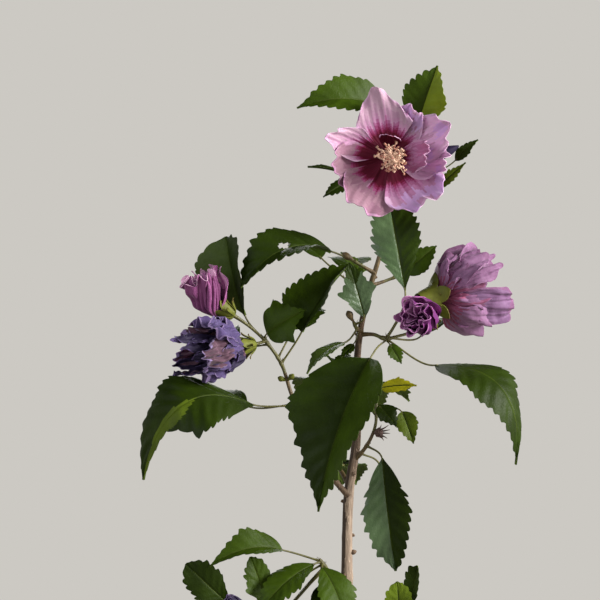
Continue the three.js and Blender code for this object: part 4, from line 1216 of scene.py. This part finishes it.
HOLE = [(0.47, 0.13, 0.05, 0.12), (0.5, 0.17, 0.035, 0.12)]  # ovals: places along and across, half sizes
UPPER_SHOOTS = {
    "top_shoot": {
        "stem": [(21, 0, 527), (28, 2, 545), (35, 6, 563), (40, 10, 579), (46, 14, 596)],
        "radii": (1.3, 0.9),
        "leaves": [
            blade(0.97, (21, 8, 616), (-55, -18, -2), 28, (0.05, -0.85, 0.55), 9, fold=0.45),
            blade(
                1, (45, 10, 609), (11, -10, 33), 28, (-0.2, -1, 0.1), 2, ("leaf_mid", "leaf_bright"),
                fold=0.3,
            ),
            blade(0.15, (56, 9, 564), (18, -9, 16), 7, (0.2, -0.9, 0.3), 1, "leaf_light", lobe=0),
            blade(0.6, (68, 8, 582), (14, -6, 13), 9, (-0.5, -0.8, 0.3), 1, lobe=0),
            blade(0.6, (-3, 12, 575), (-24, -8, 3), 7, (0.1, -0.3, 0.9), 1, "leaf_deep", lobe=0),
            blade(0.5, (0, 10, 569), (-17, -12, -11), 9, (0.4, -0.6, 0.7), 1, "leaf_deep", lobe=0),
            blade(0.45, (36, 30, 572), (-5, 52, 16), 30, (0, -0.3, 1), 6),
            blade(0.75, (50, 26, 590), (6, 40, 14), 26, (-0.3, -0.3, 0.9), 5),
            blade(0.35, (17, 24, 571), (-14, 40, 16), 28, (0.2, -0.3, 0.9), 5, "leaf_deep"),
        ],
        "blooms": [(0.5, "top_bloom", TOP_BLOOM)],
        "buds": [(0.7, (70, 4, 591), 7, "blue_dark")],
    },
    "upper_left_spray": {
        "stem": [(16, 0, 509), (9, -2, 513), (2, -4, 517)],
        "radii": (1.2, 0.9),
        "leaves": [
            blade(
                0.9, (-12, -8, 523), (-57, -26, -23), 31, (-0.3, -0.65, 0.7), 15, "leaf_deep",
                widest=0.5, fold=0.4, holes=HOLE, columns=14,
            ),
        ],
        "buds": [(0.9, (-5, -4, 522), 4, "twig_brown")],
    },
    "upper_right_spray": {
        "stem": [(13, 0, 501), (22, 4, 504), (30, 7, 507)],
        "radii": (1.2, 0.9),
        "leaves": [blade(0.9, (36, 9, 509), (20, -1, 18), 16, (-0.3, -0.9, 0.1), 2)],
    },
    "middle_left_spray": {
        "stem": [(7, 0, 472), (4, -5, 474), (2, -9, 478)],
        "radii": (1.3, 0.9),
        "leaves": [
            blade(
                0.8, (9, -12, 481), (-10, -2, 35), 16, (0.1, -1, 0.1), 1, "leaf_sheen",
                lobe=0.5, widest=0.45, streaks=[("leaf_deep", 0.6, -1.1, 1.1)],
            ),
            blade(0.4, (-4, -14, 465), (-24, -12, -19), 15, (-0.5, -0.45, 0.75), 4, "leaf_grey", lobe=0),
            blade(0.2, (2, -9, 464), (-8, -5, -8), 7, (-0.2, -0.8, 0.6), 0, lobe=0),
        ],
        "buds": [(0.95, (-2, -12, 485), 4, "twig_brown")],
    },
    "middle_right_shoot": {
        "stem": [(7, 0, 470), (15, -5, 470), (20, -9, 468), (24, -11, 467)],
        "radii": (1.3, 1.1),
        "leaves": [
            blade(
                0.95, (11, -46, 456), (-32, -20, -92), 58, (-0.6, -0.75, 0.3), 7, ("leaf_mid", "leaf_deep"),
                widest=0.32, fold=0.42, twist=0,
            ),
            blade(0.9, (53, -20, 451), (49, -18, -61), 36, (0.35, -0.6, 0.72), 30, "leaf_deep", fold=-0.1),
            blade(0.8, (25, -14, 464), (7, -4, -12), 9, (0.3, -0.9, 0.2), 0, lobe=0),
            blade(
                0.97, (34, -24, 498), (-9, 19, 56), 29, (-0.1, -0.95, 0.25), 3, ("leaf_sheen", "leaf_deep"),
                widest=0.62,
            ),
            blade(0.85, (48, 26, 470), (16, 50, 6), 28, (0, -0.1, 1), 6),
        ],
        "blooms": [(0.9, "right_bloom", RIGHT_BLOOM), (0.97, "right_closed_bloom", RIGHT_CLOSED)],
    },
    "right_spray": {
        "stem": [(3, 0, 390), (6, -3, 393), (12, -7, 402), (16, -5, 412), (17, 0, 429)],
        "radii": (1.3, 0.8),
        "leaves": [
            blade(
                0.3, (20, -16, 392), (8, -8, -70), 28, (-0.25, -0.95, 0.1), 3, ("leaf_deep", "leaf_sheen"),
                fold=0.25, widest=0.5,
            ),
            blade(0.75, (18, -8, 425), (11, -6, -13), 14, (0.3, -0.8, 0.5), 1, "leaf_deep"),
            blade(0.85, (33, -6, 421), (7, -6, -20), 13, (0.2, -1, 0.1), 1, "leaf_light", fold=0.3),
            blade(0.98, (20, -2, 436), (22, -8, 2), 11, (0, -0.8, 0.55), 1, "leaf_lime"),
            blade(0.15, (20, 14, 385), (9, 28, -46), 22, (0.1, -0.5, 0.8), 5),
        ],
        "buds": [(0.5, (20, -12, 408), 6, "husk")],
    },
    "left_shoot": {
        "stem": [(-33, -11, 421), (-38, -12, 434), (-44, -13, 452), (-55, -15, 468)],
        "radii": (1.3, 1.0),
        "leaves": [
            blade(
                0.08, (-61, -20, 426), (-68, -22, -45), 50, (-0.3, -0.75, 0.6), 38, "leaf_deep",
                widest=0.5, fold=-0.05, streaks=[("leaf_light", 0.38, -0.3, 0.12)], slim=0.8, columns=16,
            ),
            blade(
                0.62, (-31, -14, 472), (30, 6, 43), 38, (-0.8, -0.6, 0.05), 3, ("leaf_mid", "leaf_deep"),
                fold=0.55, lobe=0,
            ),
            blade(0.98, (-53, -19, 471), (25, -5, 15), 26, (-0.2, -0.85, 0.45), 2, lobe=0.4, widest=0.3),
            blade(
                0.95, (-67, -15, 482), (-12, 2, 50), 42, (-0.75, -0.65, 0.1), 2, ("leaf_grey", "leaf_deep"),
                fold=0.45, widest=0.68,
            ),
            blade(0.97, (-62, -14, 463), (-10, 2, -8), 5, (0, -0.8, 0.6), 0, lobe=0),
            blade(0.9, (-76, 10, 463), (-18, 40, -4), 30, (-0.3, -0.3, 0.9), 6),
            blade(0.7, (-37, 4, 473), (12, 42, 18), 26, (0.2, -0.4, 0.9), 6),
            blade(0.1, (-67, 8, 424), (-42, 36, -4), 26, (-0.2, -0.3, 0.9), 6, "leaf_deep"),
        ],
        "blooms": [(0.98, "pink_faded_bloom", PINK_FADED), (0.96, "blue_faded_bloom", BLUE_FADED)],
        "buds": [(0.4, (-46, -14, 443), 3, "calyx"), (0.4, (-36, -16, 445), 3, "calyx")],
    },
}
print("upper shoots:", len(UPPER_SHOOTS))

# %% Place the lower and the back shoots
LOWER_SHOOTS = {
    "lower_left_shoot": {
        "stem": [(-1, 0, 296), (-8, -7, 310), (-16, -14, 323), (-20, -16, 328)],
        "radii": (1.7, 1.1),
        "leaves": [
            blade(0.97, (-43, -22, 335), (-45, -16, -8), 20, (-0.2, -0.65, 0.72), 8, fold=0.5),
            blade(0.9, (-75, -30, 301), (-28, -4, 27), 21, (-0.35, -0.85, 0.4), 3, "leaf_deep", widest=0.62),
            blade(0.85, (-52, -22, 296), (-11, -2, 35), 17, (0.35, -0.9, 0.25), 2, lobe=0.4, widest=0.6),
            blade(0.95, (-23, -20, 326), (-33, -20, -26), 21, (-0.45, -0.75, 0.5), 5, widest=0.5),
            blade(0.9, (-18, -19, 324), (15, -15, -35), 23, (0.35, -0.85, 0.4), 5, widest=0.5),
            blade(0.93, (-19, -24, 313), (-3, -18, -35), 13, (0.1, -0.95, 0.25), 3, "leaf_deep"),
        ],
        "blooms": [(0.8, "low_faded_bloom", LOW_FADED)],
    },
    "lower_right_shoot": {
        "stem": [(-2, 0, 256), (13, -6, 267), (26, -10, 275), (34, -12, 280)],
        "radii": (1.7, 1.1),
        "leaves": [
            blade(1, (36, -12, 284), (6, -2, 40), 13, (-0.7, -0.7, 0.1), 1, fold=0.4, widest=0.7),
            blade(0.9, (32, -16, 285), (-3, -6, 30), 17, (-0.1, -0.95, 0.3), 2, "leaf_light", widest=0.6),
        ],
        "rule": dict(seed=11, count=4, start=0.35, first=-60, turn=110, stalk=16, size=56, rise=0, droop=30),
    },
    "upper_back_shoot": {
        "stem": [(9, 0, 487), (6, 16, 497), (-2, 32, 506)],
        "radii": (1.4, 1.0),
        "leaves": [
            blade(0.8, (-18, 40, 520), (-22, 28, 9), 20, (0, -0.2, 1), 4, "leaf_deep"),
            blade(0.97, (0, 46, 512), (4, 46, 4), 26, (0, -0.1, 1), 6, "leaf_deep"),
        ],
    },
    "middle_back_shoot": {
        "stem": [(5, 0, 432), (-1, 16, 438), (-7, 32, 440)],
        "radii": (1.5, 1.0),
        "rule": dict(seed=5, count=4, start=0.3, first=45, turn=22, stalk=15, size=50, rise=0, droop=25),
    },
    "lower_back_shoot": {
        "stem": [(-1, 0, 374), (-7, 16, 384), (-11, 32, 390)],
        "radii": (1.6, 1.0),
        "rule": dict(seed=7, count=3, start=0.4, first=75, turn=15, stalk=13, size=40, rise=0, droop=35),
    },
    "foot_back_shoot": {
        "stem": [(-4, 2, 228), (-12, 18, 242), (-22, 34, 250)],
        "radii": (1.7, 1.0),
        "rule": dict(seed=9, count=5, start=0.3, first=80, turn=110, stalk=20, size=58, rise=5, droop=25),
    },
}
SHOOTS = {**UPPER_SHOOTS, **LOWER_SHOOTS}
print("shoots:", len(SHOOTS))


# %% [markdown]
# ## The growing rule
#
# On the shoots that are grown by rule, each leaf stands a fixed turn on from the last, with a little chance
# in its place and size. It is the rule of the plain solids, so a leaf comes where its solid is.


# %% Grow leaves by rule
def whorl(stem, seed, count, start, first, turn, stalk, size, rise, droop):
    jitter = chance(seed)
    leaves = []
    for i in range(count):
        at = start + (1 - start) * (i + 0.5) / count
        heading = math.radians(first + turn * i + jitter(16))
        out = vec((math.cos(heading), math.sin(heading), 0))

        def tilted(degrees, length):
            a = math.radians(degrees)
            return out * length * math.cos(a) + vec((0, 0, length * math.sin(a)))

        base = stem.at(at) + tilted(rise + jitter(14), stalk * (1 + jitter(0.4)))
        length = size * (1 + jitter(0.28))
        run = tilted(-droop + jitter(20), length)
        face = 0.45 * out + vec((0, 0, 1))
        tone = ("leaf_mid", "leaf_deep", "leaf_light")[i % 3]
        leaves.append(blade(at, base, run, 0.6 * length, face, 0.1 * length, tone))
    return leaves


print("leaves by rule:", sum(shoot["rule"]["count"] for shoot in SHOOTS.values() if "rule" in shoot))

# %% [markdown]
# ## Trunk and bough
#
# The stem is woody and tan below, and browner and smoother above. Its skin is a fine tube with relief: long
# low ridges, a swelling with a scar wherever a leaf once grew, and the root flare at its foot. The relief
# could be a bump in the finish, but the stem's outline would then stay smooth, so it is in the mesh.


# %% Shape the bark
def trunk_radius(t):
    height = t * (TRUNK["tip_height"] - SOIL_TOP)
    flare = TRUNK["flare"] * math.exp(-3 * height / TRUNK["flare_height"])
    return TRUNK["tip"] + (TRUNK["foot"] - TRUNK["tip"]) * (1 - t) ** 0.9 + flare


def bark_of(scars, ridge):
    """Relief of a limb. Each scar is (height along the route, turn in degrees)."""

    def bark(middle, turn):
        along = np.concatenate([[0], np.cumsum(np.linalg.norm(np.diff(middle, axis=0), axis=1))])[:, None]
        added = np.zeros((len(middle), len(turn)))
        for row, height in enumerate(along[:, 0]):
            for column, a in enumerate(turn):
                p = Vector((1.7 * math.cos(a), 1.7 * math.sin(a), height / 26))
                q = Vector((5.5 * math.cos(a), 5.5 * math.sin(a), height / 9))
                added[row, column] = ridge * (noise.noise(p) + 0.6 * noise.noise(q))
        for height, degrees in scars:
            apart = np.cos(turn - math.radians(degrees))[None, :]
            swelling = np.exp(-(((along - height) / 2.4) ** 2)) * (0.1 + 0.4 * np.clip(apart, 0, 1) ** 2)
            dent = np.exp(-(((along - height - 1.2) / 0.9) ** 2)) * 0.4 * np.clip(apart, 0, 1) ** 6
            added = added + swelling - dent
        return added

    return bark


print("stem thickness at its foot and tip:", [round(2 * trunk_radius(t), 1) for t in (0, 1)], "mm")

# %% Make the trunk and the bough
BARK_ENDS = {"bark_old": 0.6, "bark_mid": 0.68, "bark_young": 0.9}  # shares of the trunk's length
TRUNK_SIDES = 40
# The dark streak on the stem's left side is painted shade, away from the window on the right.
PAINTED_SHADE_SIDE = 13  # the side of the trunk in the middle of its dark streak
KNOB_AT = 0.475  # share of the trunk's length at the dark bud on its right side
trunk_path = smooth(TRUNK_ROUTE)
bough_path = smooth(BOUGH_ROUTE)
trunk_scars = [(18 + 21.5 * i + 3 * math.sin(5 * i), GOLDEN * i) for i in range(17)]
bough_scars = [(12 + 15 * i, 40 + GOLDEN * i) for i in range(4)]


def trunk_finish(t, place):
    """One bark gives way to the next in ragged streaks. Painted shade darkens the stem's left side in a
    streak.
    """
    ragged = noise.noise(Vector((0.7 * place, 30 * t, 2)))
    bark = next((bark for bark, end in BARK_ENDS.items() if t < end + 0.03 * ragged), "twig_brown")
    in_painted_shade = abs(place + 0.5 - PAINTED_SHADE_SIDE) < 4.2 + 2 * ragged + 0.8 * math.sin(40 * t)
    return "bark_dark" if in_painted_shade and bark != "twig_brown" else bark


skin = Skin()
tube(skin, trunk_path, trunk_radius, TRUNK_SIDES, 300, trunk_finish, bark_of(trunk_scars, 0.16))
jitter = chance(3)
for height, degrees in trunk_scars[2:]:
    share = height / trunk_path.length
    way = vec((math.cos(math.radians(degrees)), math.sin(math.radians(degrees)), 0))
    foot = trunk_path.at(share) + way * trunk_radius(share) * 0.9
    bud(skin, foot, foot + 1.6 * way + vec((0, 0, 2.0)), 2.0, "bark_young", 3)
knob = trunk_path.at(KNOB_AT)
bud(skin, knob, knob + vec((6, -1.5, 2.4)), 2.4, "bark_young", 4)
trunk = make_piece("trunk_bark", skin, "bark", "trunk")
print("trunk faces:", len(trunk.data.polygons))

skin = Skin()
collar = lambda t: 1.9 - 0.55 * t + 0.8 * math.exp(-t * bough_path.length / 3)
bough_finish = lambda t, place: "bark_young" if t < 0.5 else "twig_brown"
tube(skin, bough_path, collar, 20, 60, bough_finish, bark_of(bough_scars, 0.15))
bough = make_piece("left_bough_bark", skin, "bark", "left_bough")
print("bough faces:", len(bough.data.polygons))

# %% [markdown]
# ## Shoots
#
# Each shoot is now grown: its stem with swollen nodes, a stalk, axil bud and blade for each leaf, its buds,
# and finer twigs with a few small young leaves that stay within the shoot's reach. Twigs and leaves are kept
# as separate pieces, and each calyx goes with its bloom.


# %% Grow finer twigs
def side_twigs(twigs, leaves, stem, seed, count, reach):
    """Short side twigs with two or three young leaves each."""
    jitter = chance(seed)
    for i in range(count):
        at = 0.35 + 0.5 * (i + 0.5) / count
        node = stem.at(at)
        heading = math.radians(150 + GOLDEN * i + jitter(40))
        way = unit(vec((0.6 * math.cos(heading), abs(math.sin(heading)), 0.5 + jitter(0.4))))
        tip = node + way * reach * (1 + jitter(0.4))
        path = handled(node, node + way * 3, tip - vec((0, 0, 2)), tip)
        tube(twigs, path, taper(0.7, 0.45), 7, 10, "twig_green")
        for k in range(3):
            start = path.at(0.55 + 0.22 * k)
            out = unit(way + vec((math.cos(heading + 2.2 * k), math.sin(heading + 2.2 * k), 0.3)))
            size = 9 + 4 * k + jitter(3)
            spec = blade(0, start + out * 2.5, out * size, 0.55 * size, vec((0, -0.2, 1)), 0.08 * size)
            leaf_stalk(twigs, start, spec)
            leaf(leaves, spec, jitter)


# %% Grow every shoot
FINER_REACH = 14
FINER = {
    # how many side twigs a shoot has
    "upper_back_shoot": 2,
    "middle_back_shoot": 2,
    "lower_back_shoot": 2,
    "foot_back_shoot": 3,
    "lower_right_shoot": 2,
}
for number, (name, shoot) in enumerate(SHOOTS.items()):
    twigs, leaves = Skin(), Skin()
    jitter = chance(100 + number)
    stem = smooth(shoot["stem"])
    grown = [*shoot.get("leaves", ()), *(whorl(stem, **shoot["rule"]) if "rule" in shoot else ())]
    nodes = [spec["at"] for spec in grown]
    start, end = shoot["radii"]

    def girth(t):
        swollen = sum(0.28 * math.exp(-(((t - at) * stem.length / 1.6) ** 2)) for at in nodes)
        return start + (end - start) * t + min(swollen, 0.4) + 0.7 * math.exp(-t * stem.length / 2.5)

    ripe = lambda t, place: "twig_brown" if t < 0.5 else "twig_green"
    tube(twigs, stem, girth, 12, max(12, int(stem.length)), ripe)
    for spec in grown:
        node = stem.at(spec["at"])
        leaf_stalk(twigs, node, spec)
        leaf(leaves, spec, jitter)
        axil(twigs, node, unit(vec(spec["base"]) - node), jitter)
    for at, tip, wide, finish in shoot.get("buds", ()):
        bud(twigs, stem.at(at), tip, wide, finish)
        if finish == "husk":
            spikes(twigs, stem.at(at), tip, wide, jitter)
    if name in FINER:
        side_twigs(twigs, leaves, stem, 40 + number, FINER[name], FINER_REACH)
    make_piece(name + "_twigs", twigs, "leaf", name)
    made = make_piece(name + "_leaves", leaves, "leaf", name)
    for at, bloom_name, bloom in shoot.get("blooms", ()):
        cup = Skin()
        calyx(cup, stem.at(at), bloom, jitter)
        make_piece(bloom_name + "_calyx", cup, "leaf", name)
    print(name, "leaves:", len(grown), "faces:", len(made.data.polygons))


# %% [markdown]
# ## Blooms
#
# The two open blooms have fresh petals and a full column of stamens. The pink one fades, so its petals
# crumple. The blue one has withered to narrow spiky folds, brown in its middle.

# %% Make the open blooms
jitter = chance(21)
petals, column = Skin(), Skin()
for spec in TOP_PETALS:
    petal(petals, TOP_BLOOM, spec, jitter, frill=spec.get("frill", 1.1))
stamens(column, TOP_BLOOM, 24, 100, jitter, start=0.2, reach=8.5, droop=(6, -8))
make_piece("top_bloom_petals", petals, "petal_mauve", "top_bloom", sharp=80)
make_piece("top_bloom_stamens", column, "petal_mauve", "top_bloom")

petals, column = Skin(), Skin()
for spec in RIGHT_PETALS:
    petal(petals, RIGHT_BLOOM, spec, jitter, DUSKY, frill=spec.get("frill", 2.0), crumple=0.45)
stamens(column, RIGHT_BLOOM, 24, 80, jitter)
make_piece("right_bloom_petals", petals, "petal_mauve", "right_bloom", sharp=80)
make_piece("right_bloom_stamens", column, "petal_mauve", "right_bloom")
print("petals of the open blooms:", len(TOP_PETALS), "and", len(RIGHT_PETALS))

# %% Make the rolled and faded blooms
# A rolled look's fold finish is painted shade, and its margin partly a painted highlight.
PLUM = {"body": "plum", "fold": "plum_dark", "margin": "plum_pale", "inside": "plum_dark"}
BLUE = {
    "bands": (("blue_brown", 1.0), ("blue_dark", 1.3)),
    "body": "blue",
    "patch": "blue_dark",
    "margin": "blue_pale",
    "back": "blue",
    "flush": "blue_brown",
}
SPIKE = {**BLUE, "body": "blue_dark", "patch": "blue_brown", "margin": "blue", "back": "blue_dark"}
BROWN = {**BLUE, "body": "blue_brown", "patch": "blue_dark", "back": "blue_brown"}
WITHERED = {"body": "blue", "fold": "blue_dark", "margin": "blue_pale", "inside": "blue_dark"}

petals = Skin()
rolled(petals, RIGHT_CLOSED, (22, 13, 13), PLUM, jitter, petals=6, ruffle=3.8, shrink=0.7, pleat=0.6)
make_piece("right_closed_petals", petals, "petal_plum", "right_closed_bloom", sharp=80)

petals = Skin()
upright = {**PINK_FADED, "axis": (-0.34, -0.24, 0.9), "foot": (-84, -27, 482)}  # straighter than its calyx
PINK_ROLL = {"body": "pink", "fold": "pink_dark", "margin": "pink_pale", "inside": "pink_dark"}
rolled(petals, upright, (29, 12, 13), PINK_ROLL, jitter, wind=140, ruffle=5, shrink=0.5, pleat=0.7, crumple=5)
make_piece("pink_faded_petals", petals, "petal_mauve", "pink_faded_bloom", sharp=80)

petals = Skin()
long_folds = faded_petals(7, reach=21, rise=39, wide=19, pleat=1.8, blunt=1.5, round=0.4)
short_folds = faded_petals(6, reach=20, rise=21, wide=15, first=40, pleat=1.4, blunt=1.6, round=0.4)
spiky_folds = faded_petals(
    6, reach=11, rise=50, wide=11, first=75, pleat=0.8, pleats=6, blunt=1.1, round=0.45
)
for i, spec in enumerate(long_folds):
    petal(petals, BLUE_FADED, spec, jitter, BROWN if i in (0, 1, 4) else BLUE, eye=9, crumple=1.6, frill=0.9)
for i, spec in enumerate(short_folds):
    petal(petals, BLUE_FADED, spec, jitter, SPIKE if i == 2 else BLUE, eye=5, crumple=1.2, frill=0.7)
for spec in spiky_folds:
    petal(petals, BLUE_FADED, spec, jitter, SPIKE, eye=12, crumple=1.2)
make_piece("blue_faded_petals", petals, "petal_blue", "blue_faded_bloom", sharp=80)

petals = Skin()
rolled(petals, LOW_FADED, (14, 5, 3.4), WITHERED, jitter, petals=4, ruffle=1.4)
make_piece("low_faded_petals", petals, "petal_blue", "low_faded_bloom", sharp=80)
print("petals of the blue bloom:", len(long_folds) + len(short_folds) + len(spiky_folds))

# %% [markdown]
# ## The pot
#
# A clay pot is thrown or pressed as one turned wall. A profile spun round the axis would give it, with a seam
# to be merged. It is modelled without a seam: a round floor is extruded up the outside, over the rim and down
# the inside, scaled at each step. Three drain holes are then cut, and all edges are softened by a bevel.

# %% Turn a pot from a disc
POT_SIDES = 96
DRAIN_HOLES, DRAIN_RADIUS, DRAIN_FROM = 3, 6, 34  # how many, their radius, and how far from the middle
POT_FOOT = (60, 0)
POT_OUTLINE = [
    (62, 2), (88, 140), (93.5, 140), (95, 142), (95, 148), (94.6, 158), (95, 167), (92, 170), (86, 170),
    (83, 140), (56, 11), (53, 8),
]  # (radius, height), from the foot up the outside, over the rim and down the inside


def turn_up(name, foot, outline, sides):
    """Extrudes a disc through an outline of rings, which leaves a closed turned solid."""
    bpy.ops.object.select_all(action="DESELECT")
    radius, height = foot
    bpy.ops.mesh.primitive_circle_add(
        vertices=sides, radius=radius * MM, fill_type="NGON", location=(0, 0, height * MM)
    )
    piece = bpy.context.object
    piece.name = name
    bpy.ops.object.transform_apply(location=True)
    bpy.ops.object.mode_set(mode="EDIT")
    bpy.ops.mesh.select_all(action="SELECT")
    for next_radius, next_height in outline:
        bpy.ops.mesh.extrude_region_move(
            TRANSFORM_OT_translate={"value": (0, 0, (next_height - height) * MM)}
        )
        scale = next_radius / radius
        bpy.ops.transform.resize(value=(scale, scale, 1))
        radius, height = next_radius, next_height
    bpy.ops.mesh.select_all(action="SELECT")
    bpy.ops.mesh.normals_make_consistent(inside=False)
    bpy.ops.object.mode_set(mode="OBJECT")
    return piece


pot = turn_up("clay_pot", POT_FOOT, POT_OUTLINE, POT_SIDES)
print("pot faces:", len(pot.data.polygons))


# %% Cut the drain holes and soften the edges
def apply_modifier(piece, kind, **settings):
    bpy.context.view_layer.objects.active = piece
    modifier = piece.modifiers.new(kind.lower(), kind)
    for key, value in settings.items():
        setattr(modifier, key, value)
    bpy.ops.object.modifier_apply(modifier=modifier.name)


def dress(piece, finish, node, sharp=40):
    """Gives a made piece its finish, and lets it stand for its plain solid."""
    piece.data.materials.clear()
    piece.data.materials.append(FINISHES[finish])
    piece.data.polygons.foreach_set("use_smooth", [True] * len(piece.data.polygons))
    piece.data.set_sharp_from_angle(angle=math.radians(sharp))
    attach(piece, "root")
    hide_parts(node)


for i in range(DRAIN_HOLES):
    turn = 2 * math.pi * i / DRAIN_HOLES
    place = (DRAIN_FROM * MM * math.cos(turn), DRAIN_FROM * MM * math.sin(turn), 4 * MM)
    bpy.ops.mesh.primitive_cylinder_add(vertices=32, radius=DRAIN_RADIUS * MM, depth=24 * MM, location=place)
    drill = bpy.context.object
    apply_modifier(pot, "BOOLEAN", operation="DIFFERENCE", object=drill, solver="EXACT")
    bpy.data.objects.remove(drill)
apply_modifier(pot, "BEVEL", width=0.9 * MM, segments=3, limit_method="ANGLE", angle_limit=math.radians(35))
dress(pot, "clay", "pot")
print("pot faces with holes and soft edges:", len(pot.data.polygons))

# %% [markdown]
# ## Compost
#
# The pot is filled to 20 mm below its rim. The fill is turned up like the pot, and its top is drawn in ring
# by ring. Each point of the top is then moved a little by noise. A Displace modifier could do that, but the
# crumbs and white grit have to lie on the same ground, so its height is a function that both use.

# %% Fill the pot
COMPOST_FOOT = (52.4, 8.3)
COMPOST_OUTLINE = [(55.4, 11.3), (82.4, 140), (83.3, 148.4)]
COMPOST_TOP = 149.2
COMPOST_RINGS = [(83.2 * (1 - k / 40), COMPOST_TOP) for k in range(1, 40)]


def ground_lift(x, y):
    """How far the compost's top stands above its level, in millimetres."""
    coarse = noise.noise(Vector((x / 22, y / 22, 3)))
    fine = noise.noise(Vector((x / 5, y / 5, 8)))
    return 0.8 * coarse + 0.5 * fine - 0.3


compost = turn_up("compost_fill", COMPOST_FOOT, [*COMPOST_OUTLINE, *COMPOST_RINGS], 150)
for corner in compost.data.vertices:
    if corner.co.z > (COMPOST_TOP - 0.1) * MM:
        corner.co.z += ground_lift(corner.co.x / MM, corner.co.y / MM) * MM
dress(compost, "compost", "compost", sharp=80)
print("compost faces:", len(compost.data.polygons))

# %% Scatter crumbs and grit
CRUMBS, CRUMBS_TO = 1500, 80  # how many are tried, and how far from the middle
STEM_CLEAR = 11  # none comes nearer to the stem's middle than this
crumbs = Skin()
jitter = chance(77)
for i in range(CRUMBS):
    radius = CRUMBS_TO * math.sqrt((i + 0.5) / CRUMBS)
    turn = math.radians(GOLDEN * i) + jitter(0.2)
    x, y = radius * math.cos(turn) + jitter(2), radius * math.sin(turn) + jitter(2)
    if math.hypot(x - TRUNK_ROUTE[0][0], y - TRUNK_ROUTE[0][1]) < STEM_CLEAR:
        continue
    size = 0.7 + 2.1 * (jitter() + 0.5) ** 3
    place = vec((x, y, COMPOST_TOP + ground_lift(x, y) + 0.25 * size))
    shape = vec((size * (1 + jitter(0.6)), size * (1 + jitter(0.6)), size * (0.6 + jitter(0.3))))
    grain(crumbs, place, shape, "grit" if i % 23 == 0 else ("crumb" if i % 3 else "compost"))
make_piece("compost_crumbs", crumbs, "compost", "compost", sharp=20)
print("crumbs:", len(crumbs.faces) // len(GRAIN_FACES))

# %% [markdown]
# ## The floor
#
# The plant stands on a plain pale floor. It belongs to the studio and not to the plant, so it is marked as
# part of the stage.

# %% Lay the floor
FLOOR_RADIUS = 1400
bpy.ops.object.select_all(action="DESELECT")
bpy.ops.mesh.primitive_circle_add(vertices=96, radius=FLOOR_RADIUS * MM, fill_type="NGON", location=(0, 0, 0))
floor = bpy.context.object
floor.name = "studio_floor"
FINISHES["floor"] = plain_finish("floor", chart(152, 149, 144), 0.9, 30, 0.1, 0.03, Specular_IOR_Level=0.1)
floor.data.materials.append(FINISHES["floor"])
floor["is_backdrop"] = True
print("floor:", 2 * FLOOR_RADIUS, "mm across")

# %% [markdown]
# ## Measure and finish
#
# The dressed plant has to keep the size of its plain solids. Both boxes are printed side by side.

# %% Print the sizes and the count of faces
dressed_box = [[float(x) for x in corner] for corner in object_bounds()]
for axis, low, high, first, last in zip("XYZ", *SOLIDS_BOX, *dressed_box):
    print(axis, "solids", round(low, 4), round(high, 4), "dressed", round(first, 4), round(last, 4))
faces = sum(len(piece.data.polygons) for piece in bpy.data.objects if piece.type == "MESH")
print("faces in all:", faces)
